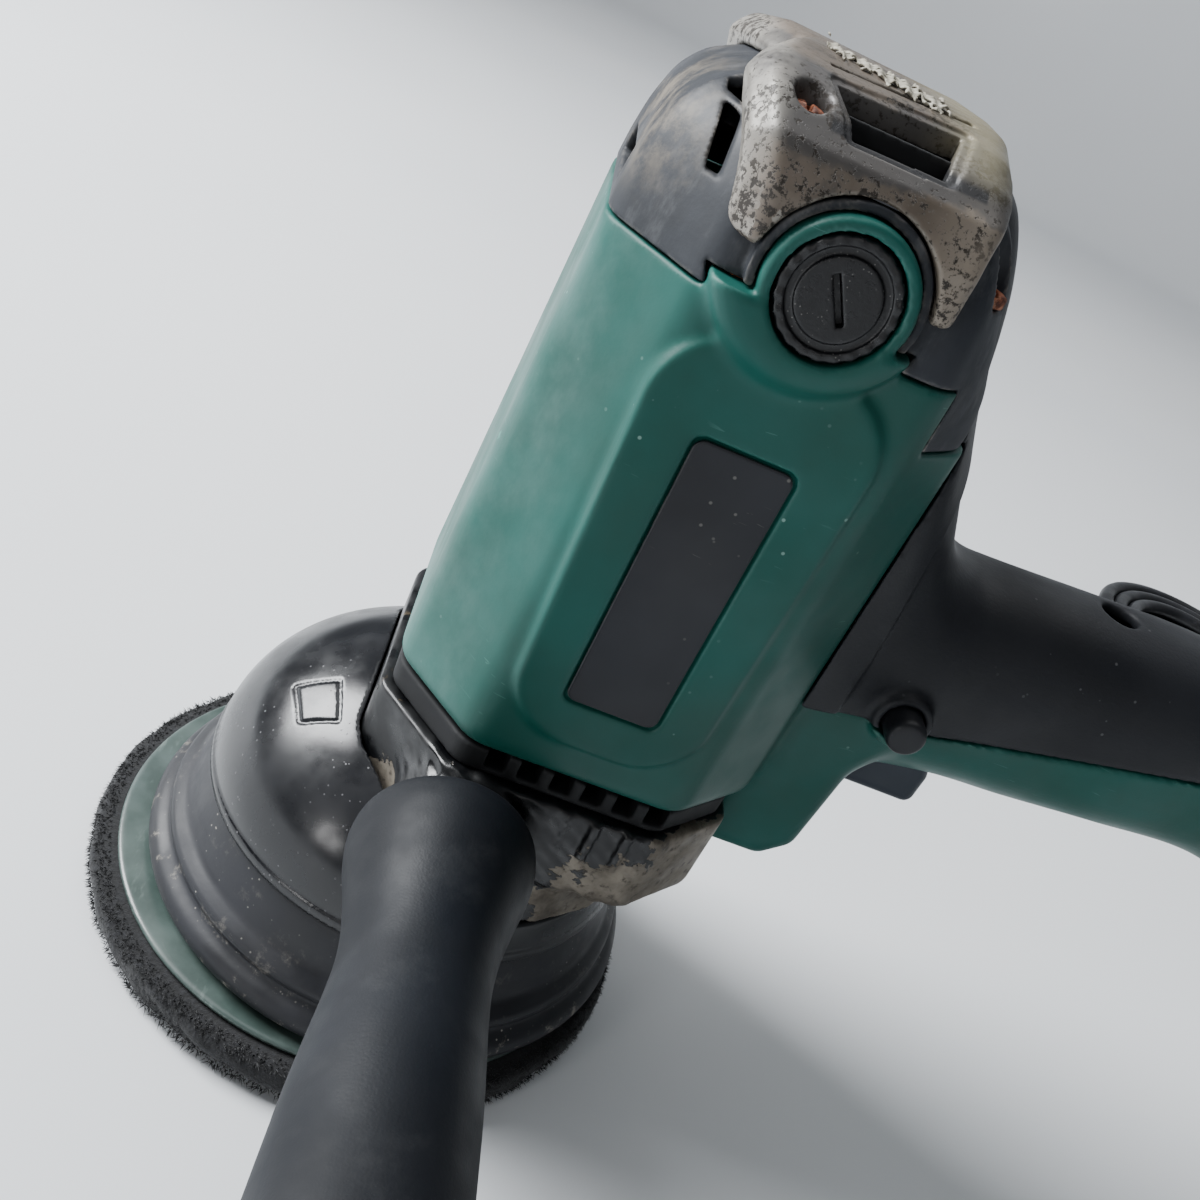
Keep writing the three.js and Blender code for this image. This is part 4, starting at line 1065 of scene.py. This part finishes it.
def ring_lathe(name, profile, body, material, replaced, at, ripple, sides=200):
    """A closed profile of (radius, height) turned about an upright axis."""
    points = np.array(profile, float)
    for _ in range(3):
        ahead = np.roll(points, -1, axis=0)
        points = np.stack([points * 0.75 + ahead * 0.25, points * 0.25 + ahead * 0.75], axis=1)
        points = points.reshape(-1, 2)
    angles = np.linspace(0, 2 * math.pi, sides, endpoint=False)
    r = points[:, :1] * np.ones(sides)
    z = points[:, 1:] * np.ones(sides)
    r = r + ripple(r, z, angles[None, :] + 0 * r)
    grid = np.stack([r * np.cos(angles), r * np.sin(angles), z], axis=-1).reshape(-1, 3)
    i, j = np.meshgrid(np.arange(len(points)), np.arange(sides), indexing="ij")
    below, along = (i + 1) % len(points), (j + 1) % sides
    quads = np.stack(
        [i * sides + j, i * sides + along, below * sides + along, below * sides + j], axis=-1
    ).reshape(-1, 4)
    mesh = mesh_of(name, grid + np.array(at, float), quads)
    return link(name, mesh, body, material, replaced)


ring_lathe("skirt", SKIRT_SHAPE, "body", SKIRT, ["rubber_skirt"],
           (SPINDLE_X, 0, 0),
           ripple=lambda r, z, a: 0.12 * np.sin(a * 5 + z * 0.3) * (z < 20))

# ---- plate and pad ----
plate_low, plate_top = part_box("backing_plate")[0].z / MM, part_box("backing_plate")[1].z / MM
PLATE_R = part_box("backing_plate")[1].x / MM


def plate_field(x, y, z):
    """The backing plate: a disc with a hub and eight low ribs."""
    radius = np.sqrt(x**2 + y**2)
    body = both(radius - PLATE_R, slab(z, plate_low, plate_low + 1.5), 1.0)
    hub = both(radius - 9, slab(z, plate_low, plate_top))
    ribs = np.abs(np.sin(np.arctan2(y, x) * 4)) * radius - 1.0
    ribs = both(both(ribs, radius - 42), slab(z, plate_low, plate_low + 2.3))
    body = join(body, join(hub, ribs), 0.8)
    shaft_low, shaft_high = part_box("pad_shaft")
    bore = (shaft_high.x - shaft_low.x) / 2 / MM
    return cut(body, radius - bore - 0.05)


carve("plate_backing", plate_field, (-58, -58, plate_low), (58, 58, plate_top), 0.45, "pad",
      PLATE, ["backing_plate"])


def pad_ripple(r, z, a):
    """The uneven edge of a worn pad."""
    edge = np.clip((r - 56) / 5, 0, 1)
    waves = 0.22 * np.sin(a * 9 + z) + 0.16 * np.sin(a * 23 + 2) + 0.12 * np.sin(a * 41 + z)
    return edge * waves


PAD_SHAPE = [
    (0.1, 0.35), (30, 0.3), (54.5, 0.25), (58, 0.5), (60.6, 1.4), (61.9, 2.8), (62.4, 4.4),
    (62.4, 6.0), (61.9, 7.2), (60.8, 7.95), (58.4, 8.1), (40, 8.0), (0.1, 8.0),
]
lathe("pad_body", [(0, 0.35)] + PAD_SHAPE + [(0, 8.0)], "pad", FOAM, ["hook_pad"],
      sides=260, ripple=pad_ripple)


def fibres(name, count, material):
    """Short frayed threads standing out of the pad's rim and face."""
    spots, faces = [], []
    for _ in range(count):
        angle = RNG.uniform(0, 2 * math.pi)
        if RNG.random() < 0.62:
            height = RNG.uniform(0.6, 8.0)
            base = np.array([61.4 + 0.6 * math.sin(math.pi * height / 8), height])
            lean = (RNG.uniform(0.4, 1.5), RNG.uniform(-0.9, 0.8))
        else:
            base = np.array([RNG.uniform(58.6, 61.4), 7.9])
            lean = (RNG.uniform(0.0, 1.2), RNG.uniform(0.2, 0.9))
        tip = base + np.array(lean)
        tip[1] = max(tip[1], 0.3)
        sway = RNG.uniform(-1.3, 1.3)
        wide = RNG.uniform(0.10, 0.17)
        out = np.array([math.cos(angle), math.sin(angle), 0])
        side = np.array([-math.sin(angle), math.cos(angle), 0])
        a = out * base[0] + np.array([0, 0, base[1]])
        b = out * tip[0] + np.array([0, 0, tip[1]]) + side * sway
        first = len(spots)
        spots += [a - side * wide, a + side * wide, a + np.array([0, 0, wide * 1.6]), b]
        faces += [(0 + first, 1 + first, 3 + first), (1 + first, 2 + first, 3 + first),
                  (2 + first, 0 + first, 3 + first), (0 + first, 2 + first, 1 + first)]
    mesh = bpy.data.meshes.new(name)
    mesh.from_pydata([tuple(p * MM) for p in spots], [], faces)
    mesh.update()
    return link(name, mesh, "pad", material)


fibres("pad_fibres", 9000, FOAM)

# ---- side handle ----
GRIP_SHAPE = [
    (9.0, 42.3), (11.0, 42.35), (14.4, 43.6), (16.3, 46.2), (17.2, 50.5), (16.7, 55.5),
    (15.4, 61), (14.2, 66.5), (13.3, 72), (12.9, 78), (13.2, 85), (13.9, 93), (14.6, 102),
    (15.1, 112), (15.6, 123), (16.2, 134), (16.8, 144), (17.2, 152), (16.8, 158), (14.6, 163),
    (12.4, 164.6), (8, 165),
]


def grip_field(x, y, z):
    """The soft handle, its skin a smooth turned shape with a faint seam and a stud hole."""
    radius = circle(x, z, GRIP_X, GRIP_Z, 0)
    along = -y
    reach = curve(along, [p[1] for p in GRIP_SHAPE[2:-2]], [p[0] for p in GRIP_SHAPE[2:-2]])
    skin = (radius - reach) * 0.96
    skin = both(skin, along - 165, 9)
    skin = both(skin, 42.3 - along, 3.5)
    seam = np.maximum(0, 0.16 - np.abs(z - GRIP_Z)) * (np.abs(x - GRIP_X) > 8)
    stud = both(radius - 5.3, along - 72)
    return both(skin - seam, -stud)


carve("grip_side", grip_field, (GRIP_X - 20, -165, GRIP_Z - 20), (GRIP_X + 20, -42, GRIP_Z + 20),
      0.6, "body", GRIP, ["side_handle_grip"])

# ---- brush caps, labels, screws ----


def cap_field(x, y, z):
    """A knurled brush cap with a ring groove and a coin slot."""
    radius = circle(x, z, MOTOR_X, BRUSH_Z, 0)
    body = both(radius - 9.2, y - 43.8, 0.7)
    body = both(body, 36.4 - y)
    dish = both(both(radius - 7.6, 6.3 - radius), 43.25 - y)
    body = cut(body, dish, 0.3)
    turn = math.radians(-58.6)
    u = (x - MOTOR_X) * math.cos(turn) + (z - BRUSH_Z) * math.sin(turn)
    w = -(x - MOTOR_X) * math.sin(turn) + (z - BRUSH_Z) * math.cos(turn)
    slot = both(both(slab(w, -0.55, 0.55), np.abs(u) - 3.8), 42.1 - y)
    body = cut(body, slot, 0.25)
    knurl = 0.14 * np.cos(np.arctan2(z - BRUSH_Z, x - MOTOR_X) * 22) * (radius > 7.8)
    spring_well = both(radius - 3.6, y - 39.6)
    return both(body - knurl * 0.5, -spring_well)


def mirrored(field):
    return lambda x, y, z: field(x, -y, z)


carve("cap_back", cap_field, (MOTOR_X - 10, 36, BRUSH_Z - 10), (MOTOR_X + 10, 44, BRUSH_Z + 10),
      0.22, "body", CAP, ["brush_cap_back"])
carve("cap_front", mirrored(cap_field), (MOTOR_X - 10, -44, BRUSH_Z - 10),
      (MOTOR_X + 10, -36, BRUSH_Z + 10), 0.22, "body", CAP, ["brush_cap_front"])


def label_field(x, y, z):
    low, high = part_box("label_plate_back")
    plate = label_outline(x, z, 2, 2)
    return both(plate, slab(y, low.y / MM, high.y / MM), 0.3)


LABEL_SKIN = moulded("label_black", "#111217", "#1B1D24", "#8C8A84", rough=0.34, relief=0.01,
                     edge=0.45, specks=0.4)
carve("label_back", label_field, (14, 40, 99), (33, 42, 155), 0.22, "body",
      LABEL_SKIN, ["label_plate_back"])
carve("label_front", mirrored(label_field), (14, -42, 99), (33, -40, 155), 0.22, "body",
      LABEL_SKIN, ["label_plate_front"])


def screw_field(at, head=3.4, length=11):
    """A cross-head screw whose head stands on the given spot."""
    sx, sy, sz = at
    slot = 0.5

    def field(x, y, z):
        radius = np.sqrt((x - sx) ** 2 + (y - sy) ** 2)
        up = z - sz
        dome = np.sqrt(radius**2 + (up + 5.2) ** 2) - 7.5
        body = both(both(radius - head, dome, 0.4), -up, 0.3)
        thread = 0.16 * np.abs(((up * 1.6) % 2) - 1)
        body = join(body, both(radius - 1.75 + thread, slab(up, -length, 0.6)))
        cross = join(
            both(np.abs(x - sx) - slot, np.abs(y - sy) - 2.4),
            both(np.abs(y - sy) - slot, np.abs(x - sx) - 2.4),
        )
        return cut(body, both(cross, 1.0 - up))

    return field


HEAD_ABOVE_WELL = 0.3
END_SCREW_HEADS = [
    (sx, side * sy, sz + HEAD_ABOVE_WELL) for sx, sy, sz in END_SCREWS for side in (-1, 1)
]
for number, (sx, sy, sz) in enumerate(END_SCREW_HEADS):
    carve(f"screw_end_{number + 1}", screw_field((sx, sy, sz), head=2.7),
          (sx - 4, sy - 4, sz - 11), (sx + 4, sy + 4, sz + 3), 0.25, "body", RUST,
          [f"end_cover_screw_{number + 1}"])
for number, (sx, top) in enumerate(HANDLE_SCREWS):
    carve(f"screw_handle_{number + 1}", screw_field((sx, 0, top - 8.7), length=24),
          (sx - 4, -4, top - 33), (sx + 4, 4, top - 5), 0.25, "body", STEEL,
          [f"handle_screw_{number + 1}"])

# ---- trigger, lock button, strain relief ----


def trigger_field(x, y, z):
    """The trigger blade, with a well for its spring."""
    side = [(80.6, 82.0), (100.2, 82.0), (100.2, 90), (98, 96.6), (82.5, 98.6)]
    blade = both(polygon(x, z, side, 2.6), np.abs(y) - 9, 3.5)
    low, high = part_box("trigger_spring")
    mid = (low + high) / 2 / MM
    wide = (high.x - low.x) / 2 / MM + 0.4
    well = both(np.sqrt((x - mid.x) ** 2 + (y - mid.y) ** 2) - wide,
                      low.z / MM - 0.2 - z)
    return both(blade, -well)


TRIGGER_SKIN = moulded("trigger_blue_black", "#1B222B", "#252D38", "#59616B", rough=0.42,
                       relief=0.015, edge=0.35, specks=0.15)
carve("trigger_blade", trigger_field, (79, -10, 81), (102, 10, 100), 0.35, "trigger_lever",
      TRIGGER_SKIN, ["trigger"])

lock_low, lock_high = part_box("lock_button")
lathe("lock_knob",
      [(0, lock_low.y / MM), (2.6, lock_low.y / MM), (3.5, lock_low.y / MM + 0.35),
       (3.9, lock_low.y / MM + 1.3), (3.9, lock_low.y / MM + 3), (3.9, lock_high.y / MM - 1),
       (3.6, lock_high.y / MM), (0, lock_high.y / MM)],
      "lock", SATIN_DARK, ["lock_button"], axis="Y",
      at=(LOCK_X, 0, LOCK_Z), sides=64, smooth=2)


def relief_field(x, y, z):
    """The tapered, ribbed strain relief and its collar."""
    radius = np.sqrt(y**2 + (z - CORD_Z) ** 2)
    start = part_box("cord_strain_relief")[0].x / MM
    t = np.clip((x - start) / (RELIEF_END - start), 0, 1)
    reach = 8.6 - 3.3 * t
    ribbed = 0.75 * np.clip(np.abs(((x * 0.25) % 1) - 0.5) * 4 - 1, -1, 0)
    ribbed = ribbed * (x > 214) * (x < RELIEF_END - 3)
    neck = np.where(x < 211, 6.4, reach + ribbed)
    collar = both(radius - 8.9, slab(x, 212.3, 215))
    body = both(radius - neck, slab(x, start, RELIEF_END))
    body = join(body, collar, 0.8)
    return cut(body, radius - CORD_DIAMETER / 2 - 0.15)


relief_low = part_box("cord_strain_relief")[0].x / MM
carve("relief_boot", relief_field, (relief_low, -10, CORD_Z - 10),
      (RELIEF_END, 10, CORD_Z + 10), 0.35, "body", CORD,
      ["cord_strain_relief"])

# ---- the lead and its plug ----


def lead_piece(points):
    """The lead as a round curve of one open spline along the given points, its ends closed."""
    data = bpy.data.curves.new("mains_lead", "CURVE")
    data.dimensions = "3D"
    data.bevel_depth = CORD_DIAMETER / 2 * MM
    data.bevel_resolution = 6
    data.use_fill_caps = True
    spline = data.splines.new("POLY")
    spline.points.add(len(points) - 1)
    for spot, (x, y, z) in zip(spline.points, points):
        spot.co = (x * MM, y * MM, z * MM, 1)
    spline.use_smooth = True
    data.materials.append(CORD)
    piece = bpy.data.objects.new("mains_lead", data)
    bpy.context.scene.collection.objects.link(piece)
    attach(piece, "body")
    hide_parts("power_cord", "cord_coil", "cord_tail")
    return piece


lead = lead_piece(CORD_PATH)
plug_from, plug_at = np.array(CORD_TAIL[-2]), np.array(CORD_TAIL[-1])
PLUG_TURN = math.atan2(plug_at[1] - plug_from[1], plug_at[0] - plug_from[0])


def in_plug(field):
    """A field written along the plug, from where the lead enters it."""

    def placed(x, y, z):
        dx, dy = x - plug_at[0], y - plug_at[1]
        u = dx * math.cos(PLUG_TURN) + dy * math.sin(PLUG_TURN)
        v = -dx * math.sin(PLUG_TURN) + dy * math.cos(PLUG_TURN)
        return field(u, v, z - 8)

    return placed


def plug_field(u, v, z):
    """The plug's grip: a waisted block with finger grooves and a neck down to the lead."""
    half = 6.5 + 4 * np.clip((u - 6) / 10, 0, 1)
    body = both(np.abs(v) - half, np.abs(z - 0.2) - 6.6, 4.5)
    body = both(body, slab(u, 5, 30), 3.0)
    neck_r = 5.6 + 0.6 * np.clip(u / 8, 0, 1) - 0.5 * (np.abs((u % 2.4) - 1.2) < 0.5) * (u < 6)
    drop = -3.9 + 3.0 * np.clip(u / 9, 0, 1)
    neck = np.sqrt(v**2 + (z - drop) ** 2) - np.minimum(neck_r, 4.1 + (u + 6) * 0.25)
    neck = both(neck, slab(u, -5, 12))
    body = join(body, neck, 4)
    grooves = both(np.abs(((u + 0.4) % 3.2) - 1.6) - 0.45, slab(u, 14, 24))
    grooves = both(grooves, 9.4 - np.abs(v))
    body = cut(body, grooves, 0.6)
    bore = both(np.sqrt(v**2 + (z + 3.9) ** 2) - CORD_DIAMETER / 2 - 0.1, u - 0.2)
    body = cut(body, bore)
    body = both(body, -7.4 - z)
    blades = both(np.abs(np.abs(v) - 6.4) - 1.0, both(np.abs(z) - 3.5, 24 - u))
    return cut(body, blades)


def blade_field(u, v, z):
    """Two flat blades with rounded tips, each with a hole."""
    tip = np.sqrt(np.maximum(u - 43, 0) ** 2 + z**2) - 3.2
    blade = both(both(tip, 24.4 - u), np.abs(np.abs(v) - 6.4) - 0.75, 0.5)
    hole = np.sqrt((u - 41.5) ** 2 + z**2) - 1.4
    return both(blade, -hole, 0.2)


PLUG_REACH = 48
plug_low, plug_high = plug_at - PLUG_REACH, plug_at + PLUG_REACH
carve("plug_shell", in_plug(plug_field), (plug_low[0] + 30, plug_low[1] + 30, 0),
      (plug_high[0], plug_high[1], 16), 0.5, "body", CORD, ["plug_body"])
carve("plug_blades", in_plug(blade_field), (plug_low[0] + 40, plug_low[1] + 40, 3),
      (plug_high[0], plug_high[1], 13), 0.35, "body", BRASS,
      ["plug_pin_left", "plug_pin_right"])

# ---- CAD parts that keep their shape and get a better finish ----
FINISHES = (
    (STEEL, ("ring_gear", "spindle_bearing_lower", "spindle_bearing_upper", "side_handle_stud",
             "stator_core", "armature_shaft", "armature_core", "pinion_gear",
             "motor_bearing_lower", "motor_bearing_upper", "brush_spring_front",
             "brush_spring_back", "output_spindle", "counterweight", "spindle_gear",
             "pad_bearing", "pad_shaft", "planet_gear", "trigger_spring")),
    (COPPER, ("field_coil_left", "field_coil_right", "commutator")),
    (BRASS, ("brush_holder_front", "brush_holder_back")),
    (CARBON, ("carbon_brush_front", "carbon_brush_back")),
    (SATIN_DARK, ("spare_boss_plug", "cooling_fan")),
    (INNER, ("switch_body", "speed_controller")),
)
for finish, nodes in FINISHES:
    for node in nodes:
        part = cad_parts[node]
        part.data.materials.clear()
        part.data.materials.append(finish)

# ---- floor, wall and light ----


def pale_paper():
    p = Paint("backdrop_paper")
    p.bump(p.noise(300, 2), 0.02, 0.2)
    return p.done(p.mottled("#E2E4E6", "#DADDE0", 0.3, 0.7, 1.5, 2), 0.55)


# in metres: the wall stands far enough back for a camera to go right round the tool
WALL_TURN, WALL_AT, WALL_BEND = 66, 2.4, 0.4
FLOOR_FRONT, WALL_HEIGHT, HALF_WIDTH = -4.0, 4.0, 5.0


def backdrop():
    """A floor that turns up into a wall behind the tool, in one smooth sheet."""
    turn = math.radians(WALL_TURN)
    out = np.array([math.cos(turn), math.sin(turn)])
    side = np.array([-math.sin(turn), math.cos(turn)])
    profile = [(FLOOR_FRONT, 0.0), (WALL_AT - WALL_BEND, 0.0)]
    for step in range(1, 13):
        angle = math.pi / 2 * step / 12
        profile.append((WALL_AT - WALL_BEND + WALL_BEND * math.sin(angle),
                        WALL_BEND * (1 - math.cos(angle))))
    profile.append((WALL_AT, WALL_HEIGHT))
    points, faces = [], []
    for reach, height in profile:
        for across in (-HALF_WIDTH, HALF_WIDTH):
            spot = out * reach + side * across
            points.append((spot[0], spot[1], height))
    for i in range(len(profile) - 1):
        faces.append((2 * i, 2 * i + 1, 2 * i + 3, 2 * i + 2))
    mesh = bpy.data.meshes.new("backdrop")
    mesh.from_pydata(points, [], faces)
    mesh.polygons.foreach_set("use_smooth", [True] * len(faces))
    mesh.materials.append(pale_paper())
    sheet = bpy.data.objects.new("backdrop", mesh)
    bpy.context.scene.collection.objects.link(sheet)


backdrop()


def lamp(name, at, aim, size, power, colour=(1, 1, 1)):
    data = bpy.data.lights.new(name, "AREA")
    data.shape = "RECTANGLE"
    data.size, data.size_y = size
    data.energy = power
    data.color = colour
    light = bpy.data.objects.new(name, data)
    light.location = at
    light.rotation_euler = (Vector(aim) - Vector(at)).to_track_quat("-Z", "Y").to_euler()
    bpy.context.scene.collection.objects.link(light)


lamp("key_window", (-1.1, 0.35, 0.95), (0, 0, 0.08), (0.7, 0.9), 70, (0.96, 0.98, 1.0))
lamp("pane_left", (-0.60, -0.66, 0.30), (-0.012, -0.038, 0.05), (0.05, 0.30), 0.8)
lamp("pane_right", (-0.51, -0.73, 0.24), (-0.012, -0.038, 0.05), (0.05, 0.16), 0.4)
lamp("front_soft", (0.1, -1.5, 0.5), (0.05, 0, 0.1), (1.4, 0.5), 2.0, (1.0, 0.99, 0.97))
lamp("top_soft", (0.1, 0.6, 1.8), (0.1, 0, 0.1), (1.6, 1.6), 13, (0.98, 0.99, 1.0))

world = bpy.data.worlds.new("room")
bpy.context.scene.world = world
world.use_nodes = True
room = world.node_tree.nodes["Background"]
room.inputs["Color"].default_value = (0.80, 0.84, 0.90, 1)
room.inputs["Strength"].default_value = 0.17
